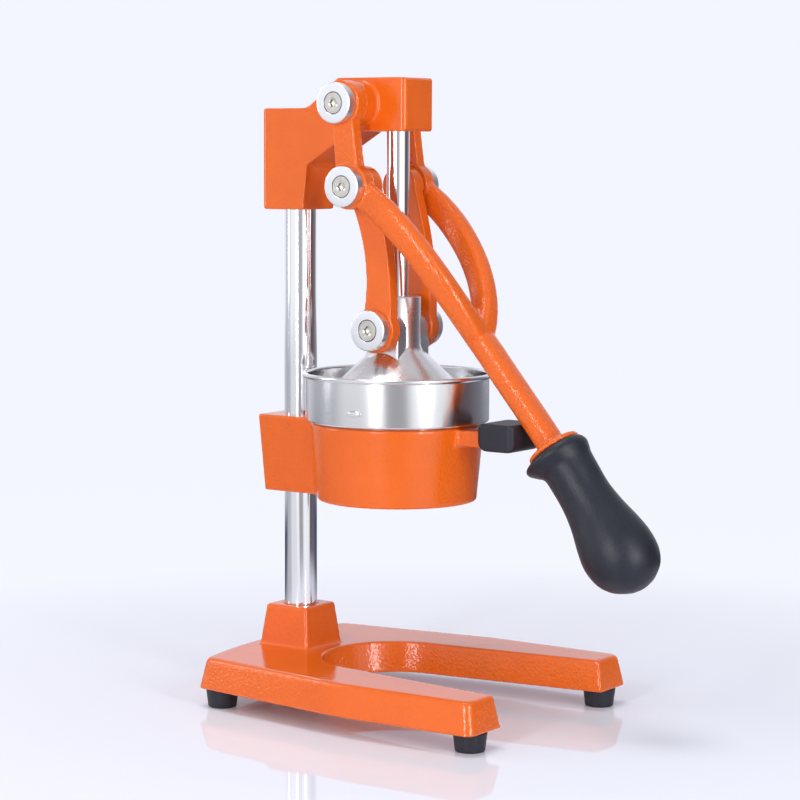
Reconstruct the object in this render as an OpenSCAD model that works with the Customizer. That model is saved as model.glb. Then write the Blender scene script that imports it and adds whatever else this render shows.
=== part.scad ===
// Lever citrus juice press: cast stand, column, ring with bowl, and a press dome
// that a forked hand lever drives down through two links.
// Millimetres. +Z is up, -Y is the front, +X is the right hand of someone at the front.
// The pieces are drawn about the press axis, then placed() moves the press axis
// so that the origin is under the middle of the whole outline, on the table.

/* [Base casting] */
// Width of the base at its rear corners
base_rear_w = 156; // [140:1:170]
// Largest width of the base
base_wide_w = 189; // [176:1:204]
// Width over the front ends of the two prongs
base_front_w = 187; // [172:1:196]
// How far in front of the press axis the base is widest
base_wide_at = 20; // [5:1:40]
// Distance of the rear corners behind the press axis
base_rear = 101; // [92:1:112]
// How far the rear edge bows out behind its corners
base_bow = 10; // [4:1:16]
// Distance of the prong ends in front of the press axis
base_front = 119; // [105:1:135]
// Height of the base casting without its feet
base_h = 21; // [18:1:26]
// How much wider the casting is at its foot than at its top, on each side
base_draft = 3.8; // [2:0.2:5]
// Radius of the round end of the gap between the prongs
gap_r = 50; // [44:1:53]
// Width of that gap at the prong ends
gap_front_w = 132; // [122:1:138]
// Wall of the hollow underside
base_wall = 6; // [5:0.5:8]

/* [Feet] */
// Height of a rubber foot
foot_h = 12.5; // [11.5:0.5:18]
// Diameter of a foot where it meets the base
foot_top_d = 21.8; // [18:0.1:23]
// Diameter of a foot on the table
foot_low_d = 19.2; // [15:0.2:20]

/* [Column] */
// Diameter of the column
column_d = 22; // [18:0.5:24]
// Distance of the column behind the press axis
column_back = 80; // [78:1:84]
// Height of the socket block on the base
socket_h = 28; // [22:1:36]
// Width of the socket block at its top
socket_top_w = 34; // [32:0.5:37]
// Width of the socket block at its foot
socket_low_w = 41; // [39:0.5:46]

/* [Bowl holder] */
// Height of the ring's underside above the table
holder_z = 140; // [125:1:150]
// Height of the ring
ring_h = 52; // [48:1:60]
// Outside diameter of the ring at its top
ring_top_d = 115.6; // [114:0.2:118]
// Outside diameter of the ring at its foot
ring_low_d = 106.2; // [104:0.2:110]
// Wall of the ring
ring_wall = 4.5; // [3.5:0.1:5]
// Width of the bracket that joins the ring to the column, at its top
bracket_top_w = 37; // [36:0.5:42]
// Width of that bracket at its foot
bracket_low_w = 31.6; // [30:0.2:35]
// Width of the front lug
lug_w = 26; // [20:1:30]
// Height of the front lug
lug_h = 10.5; // [8:0.5:15]
// Width of the rubber stop on the lug
bumper_w = 34; // [30:1:42]
// Height of the rubber stop
bumper_h = 18; // [16:1:24]
// Length of the rubber stop, front to back
bumper_l = 28; // [22:1:30]

/* [Juice bowl and strainer] */
// How far the bowl's wall stands out past the ring's top, on each side
bowl_over = 3.3; // [2.7:0.1:5.2]
// Height of the bowl above the ring
bowl_h = 33.2; // [27:0.2:34]
// Sheet thickness of the bowl and the strainer
sheet = 1; // [0.8:0.1:1.2]
// Radius of the rolled rim
rim_r = 1.7; // [1.4:0.1:2.2]
// Outside diameter of the spout
spout_d = 26; // [20:1:32]
// Diameter of the reamer's foot
reamer_d = 66; // [54:1:70]
// Height of the reamer
reamer_h = 49; // [36:1:51]
// Number of the reamer's ridges
ridges = 10; // [8:1:12]
// Holes in each row of the strainer
strainer_holes = 36; // [24:1:42]
// Diameter of a strainer hole
strainer_hole_d = 2.6; // [2:0.1:3]

/* [Press dome] */
// Diameter of the guide rod
rod_d = 15; // [12:0.5:16]
// Diameter of the dome's neck
neck_d = 31.2; // [28:0.2:32]
// Height of the neck above the lower pivot
neck_up = 21.3; // [17:0.1:23]
// Outside diameter of the dome's skirt
dome_d = 103; // [98:1:110]
// Depth of the skirt's edge below the lower pivot
dome_down = 49.2; // [47:0.2:51]
// Depth of the hollow inside the dome
hollow_h = 26; // [20:1:27]
// Gap between the reamer's point and the top of that hollow, with the lever down
dome_gap = 3.996; // [3:0.001:8]

/* [Head] */
// Height of the head's front block
head_front_h = 35; // [32:0.1:38]
// How far the rear block's top lies below the front block's top
head_step = 19.6; // [12:0.1:24]
// Height of the rear block
head_rear_h = 67.6; // [56:0.1:74]
// Width of the head
head_w = 34.8; // [32:0.2:35.6]
// Distance of the head's front face in front of the press axis
head_front = 16.9; // [14:0.1:20]
// Distance of the head's rear face behind the press axis
head_rear = 100.3; // [95:0.1:103]
// Length of the rear block, front to back
head_rear_l = 35; // [31:1:39]

/* [Lever] */
// Distance of the top pivot behind the press axis
top_pivot_back = 18.8; // [18:0.1:21]
// Depth of the top pivot below the top of the head
top_pivot_down = 17; // [15:0.1:18]
// Distance between the lever's two pivots
crank = 54.3; // [52:0.1:58]
// Lean of the crank when the lever is down
crank_lean = 6.8; // [4:0.1:9]
// Distance between a link's two pivots
link_l = 94.4; // [93:0.1:96]
// How far in front of the bowl the fork's two arms meet
fork_gap = 1.5; // [0:0.1:10]
// How far above the ring the fork's two arms meet
join_up = 64.534; // [56:0.001:72]
// Lean of the handle from upright
handle_lean = 38.6; // [37:0.1:42]
// Length of the single arm from the fork to the collar
arm_l = 93; // [85:1:102]
// Width of the single arm, side to side
arm_w = 19; // [15:0.5:21]
// Depth of the single arm
arm_t = 16; // [13:0.5:18]
// Depth of the fork's arms
fork_t = 19; // [15:0.2:20]
// Width of the fork's arms, side to side
fork_w = 13; // [11:0.2:15]
// Diameter of the collar that the grip butts against
collar_d = 36; // [32:0.5:40]
// Thickness of the collar
collar_t = 3.2; // [2.4:0.1:5]

/* [Grip] */
// Length of the grip
grip_l = 105.5; // [90:0.5:125]
// Diameter of the grip's bulb
grip_d = 48.6; // [40:0.1:50]
// Diameter of the grip's rim
grip_rim_d = 44; // [38:0.1:47]
// Diameter of the grip's waist
grip_waist_d = 34.1; // [31:0.1:38]
// How far the rim and the bulb are set towards the grip's under side
grip_offset = 1.7; // [0:0.1:3]

/* [Pivots] */
// Diameter of the pivot caps
cap_d = 26.6; // [22:0.2:27]
// Thickness of the pivot caps
cap_t = 7.4; // [5:0.1:9]
// Diameter of the pivot pins
pin_d = 12; // [10.5:0.5:13]
// Diameter of the lever's eyes
eye_d = 30; // [28:0.5:31]
// Thickness of the lever's eyes
eye_t = 10.2; // [8:0.1:12]
// Length of the round boss on each side of the head
boss_l = 12.2; // [11:0.1:14]
// Thickness of a link
link_t = 8.8; // [7:0.1:9.4]

/* [Hidden] */

round_fn = 96;
small_fn = 48;
corner_steps = 5;

// Overrun of every cut past the face that it opens
cut = 0.6;
// Radial gap of a fixed shaft in its hole
fixed_gap = 0.03;
// Radial gap of a turning or sliding shaft in its hole
running_gap = 0.06;
// Gap between the flat faces of pieces that turn against each other
side_gap = 0.2;
// Gap round a screw head in its recess
head_gap = 0.4;
// Space left past the end of a screw in its blind hole
end_gap = 2;
// Gap between the lever's arm and the rubber stop, with the lever down
stop_gap = 0.3;

// Radii of the cast pieces' corners
base_corner_r = 6;
base_bend_r = 160;
base_edge_r = 2;
block_corner_r = 4;

// Levels above the table
base_low = foot_h;
base_top = foot_h + base_h;
socket_top = base_top + socket_h;
ring_top = holder_z + ring_h;
bowl_top = ring_top + bowl_h;
bowl_d = ring_top_d + 2 * bowl_over;
strainer_deep = 16;
strainer_top = ring_top + sheet;
strainer_floor = strainer_top - strainer_deep;
reamer_top = strainer_floor + sheet + reamer_h;

// With the lever down, the dome stands over the reamer's point and the strainer's flange, and the
// pivots and the head stand above it
flange_gap = 2;
hollow_top = max(reamer_top + dome_gap, strainer_top + sheet + flange_gap + hollow_h);
skirt_low = hollow_top - hollow_h;
low_z = skirt_low + dome_down;
top_y = top_pivot_back;
mid_y = top_y - crank * sin(crank_lean);
mid_z = low_z + sqrt(link_l * link_l - mid_y * mid_y);
top_z = mid_z + crank * cos(crank_lean);
head_top = top_z + top_pivot_down;
head_z = head_top - head_front_h;
rear_top = head_top - head_step;
rear_low = rear_top - head_rear_h;

// Faces across the pivots, measured from the middle plane
head_side = head_w / 2;
boss_side = head_side + boss_l;
eye_in = boss_side + side_gap;
eye_out = eye_in + eye_t;
top_cap_in = eye_out + side_gap;
mid_cap_in = eye_out;
link_boss_side = eye_in - side_gap;
link_boss_l = 2.2;
link_out = link_boss_side - link_boss_l;
link_in = link_out - link_t;
low_cap_in = link_out + side_gap;
ear_side = link_in - side_gap;

// Point where the fork's arms meet, and the handle's axis from there
join_y = -bowl_d / 2 - fork_gap;
join_z = ring_top + join_up;
fork_reach = mid_y - join_y;
fork_drop = mid_z - join_z;

// Rings of the grip. Each row is the ring's place as a share of the grip's length, then the shares
// of the collar, rim, waist and bulb in its radius, then the share of grip_offset by which it is set over.
grip_start = arm_l + collar_t;
grip_radii = [collar_d, grip_rim_d, grip_waist_d, grip_d] / 2;
grip_ring_shares = [
    [0, 1, 0, 0, 0, 0],
    [0.025, 0, 0.99, 0, 0, 1],
    [0.049, 0, 1, 0, 0, 0.76],
    [0.085, 0, 0.59, 0.41, 0, -0.09],
    [0.128, 0, 0.1, 0.9, 0, -0.91],
    [0.209, 0, 0, 1, 0, -0.82],
    [0.341, 0, 0, 1, 0, -0.35],
    [0.474, 0, 0, 0.73, 0.27, 0],
    [0.607, 0, 0, 0.26, 0.74, 0.5],
    [0.72, 0, 0, 0, 1, 0.79],
    [0.834, 0, 0, 0, 0.947, 0.68],
    [0.919, 0, 0, 0, 0.748, 0.29],
    [0.976, 0, 0, 0, 0.42, 0],
    [1, 0, 0, 0, 0.1, 0]];
grip_last = len(grip_ring_shares) - 1;
grip_steps = 2;
grip_sides = 24;

// A ring's place along the handle, its radius and its offset to the under side
function grip_row(i) =
    let (row = grip_ring_shares[min(max(i, 0), grip_last)])
    [grip_start + row[0] * grip_l, [row[1], row[2], row[3], row[4]] * grip_radii, row[5] * grip_offset];
grip_rows = concat(
    [for (i = [0:grip_last - 1]) for (k = [0:grip_steps - 1])
        catmull(grip_row(i - 1), grip_row(i), grip_row(i + 1), grip_row(i + 2), k / grip_steps)],
    [grip_row(grip_last)]);

// Rearmost and foremost points, and the shift that centres the outline on the origin
outline_rear = base_rear + base_bow + base_draft;
outline_front = min([for (g = grip_rows) join_y - g[0] * sin(handle_lean) - (g[1] - g[2]) * cos(handle_lean)]);
frame_y = -(outline_rear + outline_front) / 2;

// General shapes

function unit(v) = v / norm(v);
function turn(a) = a > 180 ? a - 360 : a < -180 ? a + 360 : a;
function on_circle(c, r, a) = c + r * [cos(a), sin(a)];

// Points of one rounded corner p between its neighbours a and b
function corner(a, p, b, r, n) = r == 0 ? [p] :
    let (u = unit(a - p))
    let (v = unit(b - p))
    let (half = acos(u * v) / 2)
    let (c = p + unit(u + v) * r / sin(half))
    let (s = p + u * r / tan(half) - c)
    let (e = p + v * r / tan(half) - c)
    let (a0 = atan2(s[1], s[0]))
    let (sweep = turn(atan2(e[1], e[0]) - a0))
    [for (i = [0:n]) on_circle(c, r, a0 + sweep * i / n)];

// An outline of corner points, each rounded by its own radius
function rounded(points, radii, n) =
    let (m = len(points))
    [for (i = [0:m - 1]) each corner(points[(i + m - 1) % m], points[i], points[(i + 1) % m], radii[i], n)];

function block_outline(w, y0, y1, r) =
    rounded([[-w / 2, y0], [w / 2, y0], [w / 2, y1], [-w / 2, y1]], [r, r, r, r], corner_steps);

// A lug that grows out of a round wall of radius wall_r with a fillet on each side
function lug_outline(w, wall_r, y1, fillet) =
    let (c = [w / 2 + fillet, sqrt(pow(wall_r - fillet_bite + fillet, 2) - pow(w / 2 + fillet, 2))])
    let (a0 = atan2(-c[1], -c[0]) + 360)
    let (arc = [for (i = [0:corner_steps]) on_circle(c, fillet, mix(a0, 180, i / corner_steps))])
    concat([[-w / 2, wall_r - fillet_in], [w / 2, wall_r - fillet_in]], arc, [[w / 2, y1], [-w / 2, y1]],
        [for (i = [corner_steps:-1:0]) [-arc[i][0], arc[i][1]]]);
// How deep a fillet's foot lies under the wall's face, and how deep a lug starts in the wall
fillet_bite = 0.4;
fillet_in = 6;

function lift(outline, z) = [for (p = outline) [p[0], p[1], z]];

// A solid skinned over rings of equal length, each counter-clockwise about the way on
module skin(rings) {
    n = len(rings[0]);
    m = len(rings);
    low = [for (i = [0:n - 1]) i];
    top = [for (i = [n - 1:-1:0]) (m - 1) * n + i];
    side = [for (k = [0:m - 2]) for (i = [0:n - 1]) for (f = [0, 1])
        f == 0 ? [k * n + i, (k + 1) * n + i, (k + 1) * n + (i + 1) % n]
               : [k * n + i, (k + 1) * n + (i + 1) % n, k * n + (i + 1) % n]];
    polyhedron(points = [for (r = rings) each r], faces = concat([low], [top], side));
}

// A bar's section: a rounded rectangle of half sizes a and b, as a smooth closed curve
bar_sides = 16;
bar_power = 3;
function power_curve(v) = sign(v) * pow(abs(v), 2 / bar_power);
function bar_section(a, b) =
    [for (i = [0:bar_sides - 1]) let (g = 360 * i / bar_sides) [a * power_curve(cos(g)), b * power_curve(sin(g))]];

// The section set square to a direction, with its first axis as near to X as it goes
function bar_ring(at, way, a, b) =
    let (t = unit(way))
    let (u = unit([1, 0, 0] - t[0] * t))
    let (w = cross(t, u))
    [for (p = bar_section(a, b)) at + p[0] * u + p[1] * w];

function bezier(p, t) = pow(1 - t, 3) * p[0] + 3 * pow(1 - t, 2) * t * p[1] + 3 * (1 - t) * t * t * p[2]
    + t * t * t * p[3];
function bezier_way(p, t) = pow(1 - t, 2) * (p[1] - p[0]) + 2 * (1 - t) * t * (p[2] - p[1]) + t * t * (p[3] - p[2]);

function mix(a, b, t) = a + (b - a) * t;

// A smooth curve's value between b and c, with a and d its neighbours
function catmull(a, b, c, d, t) =
    b + ((c - a) * t + (2 * a - 5 * b + 4 * c - d) * t * t + (3 * b - a - 3 * c + d) * t * t * t) / 2;

module placed() {
    translate([0, frame_y, 0]) children();
}

// Lays a cylinder's axis along X, running from x0 to x1 at height z and depth y
module cross_cylinder(x0, x1, y, z, r, fn) {
    translate([x0, y, z]) rotate([0, 90, 0]) cylinder(h = x1 - x0, r = r, $fn = fn);
}

module both_sides() {
    children();
    mirror([1, 0, 0]) children();
}

// Puts the local +Z along the handle's axis, with its zero where the fork's arms meet
module on_handle() {
    translate([0, join_y, join_z]) rotate([180 - handle_lean, 0, 0]) children();
}

// Base casting

function base_outline(grow) =
    let (f = base_front_w / 2 + grow)
    let (w = base_wide_w / 2 + grow)
    let (b = base_rear_w / 2 + grow)
    let (y = base_rear + grow)
    let (bow_steps = 8)
    let (bow = [for (i = [bow_steps - 1:-1:1 - bow_steps]) let (s = i / bow_steps) [b * s, y + base_bow * (1 - s * s)]])
    rounded(
        concat([[-f, -base_front - grow], [f, -base_front - grow], [w, -base_wide_at], [b, y]], bow,
            [[-b, y], [-w, -base_wide_at]]),
        concat([base_corner_r, base_corner_r, base_bend_r, base_corner_r], [for (p = bow) 0],
            [base_corner_r, base_bend_r]),
        corner_steps);

// The gap between the prongs, wider at the top by the draft
module prong_gap(grow) {
    low_r = gap_r - base_draft + grow;
    top_r = gap_r + grow;
    low_half = gap_front_w / 2 - base_draft + grow;
    top_half = gap_front_w / 2 + grow;
    front = base_front + base_draft + cut;
    below = base_low - cut;
    above = base_top + cut;
    slope = base_draft / base_h * cut;
    translate([0, 0, below]) cylinder(h = above - below, r1 = low_r - slope, r2 = top_r + slope, $fn = round_fn);
    skin([
        lift([[-low_half, -front], [low_half, -front], [low_r - slope, 0], [-low_r + slope, 0]], below),
        lift([[-top_half, -front], [top_half, -front], [top_r + slope, 0], [-top_r - slope, 0]], above)]);
}

foot_lip = 0.5;
// How far a foot's edge lies inside the casting's foot
foot_edge_in = 0.8;
foot_inset = foot_top_d / 2 + foot_edge_in;
foot_front_x = (base_front_w + gap_front_w) / 4;
foot_front_y = -base_front - base_draft + foot_inset;
foot_rear_x = base_rear_w / 2 + base_draft - foot_inset;
foot_rear_y = base_rear + base_draft - foot_inset;
foot_boss_r = foot_top_d / 2 - 2 * foot_lip;
foot_screw_r = 2.5;
foot_screw_up = 12;
foot_head_r = 4.6;
foot_head_h = 3;
foot_recess = 4;
foot_edge_r = 1.6;

rib_t = 4;
// Places of the cross ribs, as shares of the prongs' length in front and of the base's length behind
front_rib_shares = [0.2, 0.52];
rear_rib_shares = [0.27, 0.62];
// Place of the ribs that run front to back beside the column, as a share of the rear width
long_rib_share = 0.26;

module at_feet() {
    for (x = [-1, 1]) {
        translate([x * foot_front_x, foot_front_y, 0]) children();
        translate([x * foot_rear_x, foot_rear_y, 0]) children();
    }
}

// The hollow under the casting, which leaves its walls, ribs and bosses
module base_hollow() {
    roof = base_top - base_wall;
    difference() {
        translate([0, 0, base_low - cut]) linear_extrude(roof - base_low + cut) polygon(base_outline(-base_wall));
        translate([0, 0, base_low - cut]) prong_walls(roof - base_low + 2 * cut);
        translate([0, 0, base_low - cut]) at_feet_bosses(roof - base_low + 2 * cut);
        translate([0, column_back, base_low - cut])
            cylinder(h = roof - base_low + 2 * cut, r = socket_low_w / 2, $fn = round_fn);
        for (y = concat(-base_front * front_rib_shares, base_rear * rear_rib_shares))
            translate([-base_wide_w, y - rib_t / 2, base_low - cut])
                cube([2 * base_wide_w, rib_t, roof - base_low + 2 * cut]);
        for (x = [-1, 1])
            translate([x * base_rear_w * long_rib_share - rib_t / 2, gap_r, base_low - cut])
                cube([rib_t, base_rear, roof - base_low + 2 * cut]);
    }
}

module prong_walls(h) {
    cylinder(h = h, r = gap_r + base_wall, $fn = round_fn);
    half = gap_front_w / 2 + base_wall;
    linear_extrude(h) polygon([[-half, -base_front - base_draft], [half, -base_front - base_draft],
        [gap_r + base_wall, 0], [-gap_r - base_wall, 0]]);
}

module at_feet_bosses(h) {
    at_feet() cylinder(h = h, r = foot_boss_r, $fn = small_fn);
}

// Column bolt from below, through the socket's floor
bolt_r = 5;
bolt_head_af = 17;
bolt_head_h = 6.4;
washer_r = 12;
washer_t = 2;
bolt_hole_r = 5.5;
socket_floor = 6;
// How far the bolt's head stands out of the casting's foot, beside the feet
bolt_proud = 3;
bolt_recess = bolt_head_h + washer_t - bolt_proud;
column_low = base_low + bolt_recess + socket_floor;
bolt_up = 22;

module base() {
    color("orangered") placed() difference() {
        union() {
            skin([
                lift(base_outline(base_draft), base_low),
                lift(base_outline(base_draft * base_edge_r / base_h), base_top - base_edge_r),
                lift(base_outline(-base_edge_r * (1 - cos(45))), base_top - base_edge_r * (1 - sin(45))),
                lift(base_outline(-base_edge_r), base_top)]);
            skin([
                lift(block_outline(socket_low_w, column_back - socket_low_w / 2, column_back + socket_low_w / 2,
                    block_corner_r / 2), base_top - cut),
                lift(block_outline(socket_top_w, column_back - socket_top_w / 2, column_back + socket_top_w / 2,
                    block_corner_r / 2), socket_top)]);
        }
        prong_gap(0);
        base_hollow();
        translate([0, column_back, column_low])
            cylinder(h = socket_top - column_low + cut, r = column_d / 2 + fixed_gap, $fn = round_fn);
        translate([0, column_back, base_low - cut])
            cylinder(h = column_low - base_low + 2 * cut, r = bolt_hole_r, $fn = small_fn);
        translate([0, column_back, base_low - cut])
            cylinder(h = bolt_recess + cut, r = washer_r + head_gap, $fn = small_fn);
        at_feet() translate([0, 0, base_low - cut])
            cylinder(h = foot_screw_up + cut, r = foot_screw_r + fixed_gap, $fn = small_fn);
    }
}

// Feet

module foot(x, y) {
    color("dimgray") placed() translate([x, y, 0]) difference() {
        rotate_extrude($fn = round_fn)
            polygon(rounded([[0, 0], [foot_low_d / 2, 0], [foot_top_d / 2, foot_h], [0, foot_h]],
                [0, foot_edge_r, 0, 0], corner_steps));
        translate([0, 0, -cut]) cylinder(h = foot_h + 2 * cut, r = foot_screw_r + fixed_gap, $fn = small_fn);
        translate([0, 0, -cut])
            cylinder(h = foot_recess + foot_head_h + cut, r = foot_head_r + head_gap, $fn = small_fn);
    }
}

module foot_front_left() { foot(-foot_front_x, foot_front_y); }
module foot_front_right() { foot(foot_front_x, foot_front_y); }
module foot_rear_left() { foot(-foot_rear_x, foot_rear_y); }
module foot_rear_right() { foot(foot_rear_x, foot_rear_y); }

module foot_screws() {
    slot_w = 1.2;
    slot_deep = 1.4;
    slot_half_l = 3.2;
    color("silver") placed() at_feet() translate([0, 0, foot_recess]) difference() {
        union() {
            cylinder(h = foot_head_h, r = foot_head_r, $fn = small_fn);
            cylinder(h = foot_h - foot_recess + foot_screw_up - end_gap, r = foot_screw_r, $fn = small_fn);
        }
        for (a = [0, 90])
            rotate([0, 0, a]) translate([-slot_half_l, -slot_w / 2, -cut])
                cube([2 * slot_half_l, slot_w, slot_deep + cut]);
    }
}

// Column and its bolt

column_edge = 1;
// Thickness of the head over the column's end
column_cover = 8;
column_top = rear_top - column_cover;

module column() {
    color("gainsboro") placed() translate([0, column_back, 0]) difference() {
        rotate_extrude($fn = round_fn) polygon([[0, column_low], [column_d / 2 - column_edge, column_low],
            [column_d / 2, column_low + column_edge], [column_d / 2, column_top - column_edge],
            [column_d / 2 - column_edge, column_top], [0, column_top]]);
        translate([0, 0, column_low - cut]) cylinder(h = bolt_up + cut, r = bolt_r + fixed_gap, $fn = small_fn);
    }
}

module column_washer() {
    color("silver") placed() translate([0, column_back, base_low + bolt_recess - washer_t]) difference() {
        cylinder(h = washer_t, r = washer_r, $fn = small_fn);
        translate([0, 0, -cut]) cylinder(h = washer_t + 2 * cut, r = bolt_hole_r, $fn = small_fn);
    }
}

module column_bolt() {
    head_low = base_low + bolt_recess - washer_t - bolt_head_h;
    color("silver") placed() translate([0, column_back, head_low]) {
        cylinder(h = bolt_head_h, r = bolt_head_af / sqrt(3), $fn = 6);
        cylinder(h = column_low - head_low + bolt_up - end_gap, r = bolt_r, $fn = small_fn);
    }
}

// Head

gusset_y = 62;
gusset_drop = 22;
gusset_front = 25;
step_front = 37;
step_rear = 62;
step_r = 14;
head_edge_r = 3;
set_screw_r = 4;
set_screw_l = 6;

function head_profile() =
    let (rear_front = head_rear - head_rear_l)
    rounded(
        [[-head_front, head_z], [gusset_front, head_z], [gusset_y, head_z - gusset_drop], [rear_front, rear_low],
         [head_rear, rear_low], [head_rear, rear_top], [step_rear, rear_top], [step_front, head_top],
         [-head_front, head_top]],
        [head_edge_r, head_edge_r, 0, head_edge_r / 2, head_edge_r, head_edge_r, step_r, head_edge_r, head_edge_r],
        corner_steps);

// The boss is a little smaller than the eye that turns beside it, and has a fillet at the head
boss_set_in = 0.5;
boss_r = eye_d / 2 - boss_set_in;
boss_fillet = 1.2;
bush_wall = 2.6;
bush_r = rod_d / 2 + bush_wall;
head_set_shares = [0.3, 0.7];
head_set_zs = [for (s = head_set_shares) rear_low + head_rear_h * s];

module head() {
    color("orangered") placed() difference() {
        union() {
            intersection() {
                translate([-head_side, 0, 0]) rotate([90, 0, 90]) linear_extrude(head_w) polygon(head_profile());
                translate([0, 0, rear_low - cut]) linear_extrude(head_top - rear_low + 2 * cut)
                    polygon(block_outline(head_w, -head_front, head_rear, block_corner_r));
            }
            both_sides() translate([0, top_y, top_z]) rotate([0, 90, 0]) rotate_extrude($fn = round_fn)
                polygon(rounded([[0, 0], [boss_r + boss_fillet, head_side], [boss_r, head_side + boss_fillet],
                    [boss_r, boss_side], [0, boss_side]], [0, 0, boss_fillet, 0, 0], corner_steps));
        }
        cross_cylinder(-boss_side - cut, boss_side + cut, top_y, top_z, pin_d / 2 + fixed_gap, round_fn);
        translate([0, 0, head_z - cut]) cylinder(h = head_front_h + 2 * cut, r = bush_r + fixed_gap, $fn = round_fn);
        translate([0, column_back, rear_low - cut])
            cylinder(h = column_top - rear_low + cut, r = column_d / 2 + fixed_gap, $fn = round_fn);
        for (z = head_set_zs)
            translate([0, column_back, z]) rotate([-90, 0, 0])
                cylinder(h = head_rear - column_back + cut, r = set_screw_r + fixed_gap, $fn = small_fn);
    }
}

// A grub screw with its hex socket, its tip on the column, pointing to the rear
module set_screw(z) {
    socket_af = 4;
    socket_deep = 2.6;
    translate([0, column_back + column_d / 2, z]) rotate([-90, 0, 0]) difference() {
        cylinder(h = set_screw_l, r = set_screw_r, $fn = small_fn);
        translate([0, 0, set_screw_l - socket_deep]) cylinder(h = socket_deep + cut, r = socket_af / sqrt(3), $fn = 6);
    }
}

module head_set_screws() {
    color("dimgray") placed() for (z = head_set_zs) set_screw(z);
}

module guide_bush() {
    color("darkgoldenrod") placed() translate([0, 0, head_z]) difference() {
        cylinder(h = head_front_h, r = bush_r, $fn = round_fn);
        translate([0, 0, -cut]) cylinder(h = head_front_h + 2 * cut, r = rod_d / 2 + running_gap, $fn = round_fn);
    }
}

// Bowl holder

// Metal behind the column's hole, at the bracket's top and foot
bracket_back_top = 13.2;
bracket_back_low = 9.5;
// How deep the bracket starts in the ring's wall, as a share of the wall
bracket_root_share = 1.6;
bracket_rear_top = column_back + column_d / 2 + bracket_back_top;
bracket_rear_low = column_back + column_d / 2 + bracket_back_low;
bracket_in = ring_low_d / 2 - ring_wall * bracket_root_share;
lug_fillet = 3;
holder_edge = 1.4;
holder_set_z = holder_z + ring_h / 2;

// The rubber stop covers the lug's end, and its nose lies behind the lever's arm when the lever is down
lug_down = 1;
lug_z = ring_top - lug_down - lug_h;
bumper_drop = 1.7;
bumper_z = lug_z - bumper_drop;
bumper_nose_r = 2.5;
bumper_cap_t = 8;
arm_back_y = join_y + arm_t / 2 * cos(handle_lean);
arm_back_z = join_z - arm_t / 2 * sin(handle_lean);
nose_z = bumper_z + bumper_h - bumper_nose_r;
nose_y = arm_back_y + (bumper_nose_r + stop_gap + (nose_z - arm_back_z) * sin(handle_lean)) / cos(handle_lean);
bumper_front = bumper_nose_r - nose_y;
bumper_rear = max(bumper_front - bumper_l, ring_top_d / 2 + lug_fillet);
lug_tip = bumper_front - bumper_cap_t;
lug_wall_r = mix(ring_low_d, ring_top_d, (lug_z - holder_z) / ring_h) / 2;

module holder_ring_outside() {
    rotate_extrude($fn = round_fn) polygon([[0, holder_z], [ring_low_d / 2 - holder_edge, holder_z],
        [ring_low_d / 2, holder_z + holder_edge], [ring_top_d / 2, ring_top - holder_edge],
        [ring_top_d / 2 - holder_edge, ring_top], [0, ring_top]]);
}

module holder_ring_inside() {
    slope = (ring_top_d - ring_low_d) / 2 / ring_h * cut;
    translate([0, 0, holder_z - cut]) cylinder(h = ring_h + 2 * cut, r1 = ring_low_d / 2 - ring_wall - slope,
        r2 = ring_top_d / 2 - ring_wall + slope, $fn = round_fn);
}

module bowl_holder() {
    color("orangered") placed() difference() {
        union() {
            holder_ring_outside();
            skin([
                lift(block_outline(bracket_low_w, bracket_in, bracket_rear_low, block_corner_r), holder_z),
                lift(block_outline(bracket_top_w, bracket_in, bracket_rear_top, block_corner_r), ring_top)]);
            translate([0, 0, lug_z]) rotate([0, 0, 180]) linear_extrude(lug_h)
                polygon(lug_outline(lug_w, lug_wall_r, lug_tip, lug_fillet));
        }
        holder_ring_inside();
        translate([0, column_back, holder_z - cut])
            cylinder(h = ring_h + 2 * cut, r = column_d / 2 + fixed_gap, $fn = round_fn);
        translate([0, column_back, holder_set_z]) rotate([-90, 0, 0])
            cylinder(h = bracket_rear_top - column_back + cut, r = set_screw_r + fixed_gap, $fn = small_fn);
    }
}

module holder_set_screws() {
    color("dimgray") placed() set_screw(holder_set_z);
}

// The rubber stop is a block with a round heel, pushed over the lug's end
module stop_bumper() {
    heel_r = 8;
    edge_r = 4;
    color("dimgray") placed() difference() {
        intersection() {
            translate([-bumper_w / 2, 0, 0]) rotate([90, 0, 90]) linear_extrude(bumper_w)
                polygon(rounded([[-bumper_front, bumper_z], [-bumper_rear, bumper_z],
                    [-bumper_rear, bumper_z + bumper_h], [-bumper_front, bumper_z + bumper_h]],
                    [edge_r, heel_r, edge_r, bumper_nose_r], corner_steps));
            translate([0, 0, bumper_z - cut]) linear_extrude(bumper_h + 2 * cut)
                polygon(block_outline(bumper_w, -bumper_front, -bumper_rear, edge_r));
        }
        translate([-lug_w / 2, -lug_tip, lug_z]) cube([lug_w, lug_tip - bumper_rear + cut, lug_h]);
    }
}

// Juice bowl, strainer and reamer

// The bowl is welded up from a drum with a neck, a funnel under the neck and a spout in the funnel's collar
bowl_r = bowl_d / 2;
bowl_corner_r = 3;
neck_gap = 1;
bowl_neck_h = 14;
bowl_neck_bend = 1.5;
weld_z = ring_top - bowl_neck_h;
ring_weld_r = mix(ring_low_d, ring_top_d, (weld_z - holder_z) / ring_h) / 2 - ring_wall;
bowl_neck_r = ring_weld_r - neck_gap;
funnel_rim_h = 2;
funnel_up = 12;
funnel_low = holder_z + funnel_up;
funnel_collar_h = 5;
funnel_bend = 2;
spout_up = 3;
spout_low = holder_z + spout_up;
rim_out_share = 0.6;
// Pips pressed outwards round the drum
pips = 3;
pip_turn = 184.8;
pip_up = 10.3;
pip_r = 1.75;
pip_half_l = 2.2;
pip_out = 1.2;

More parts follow.
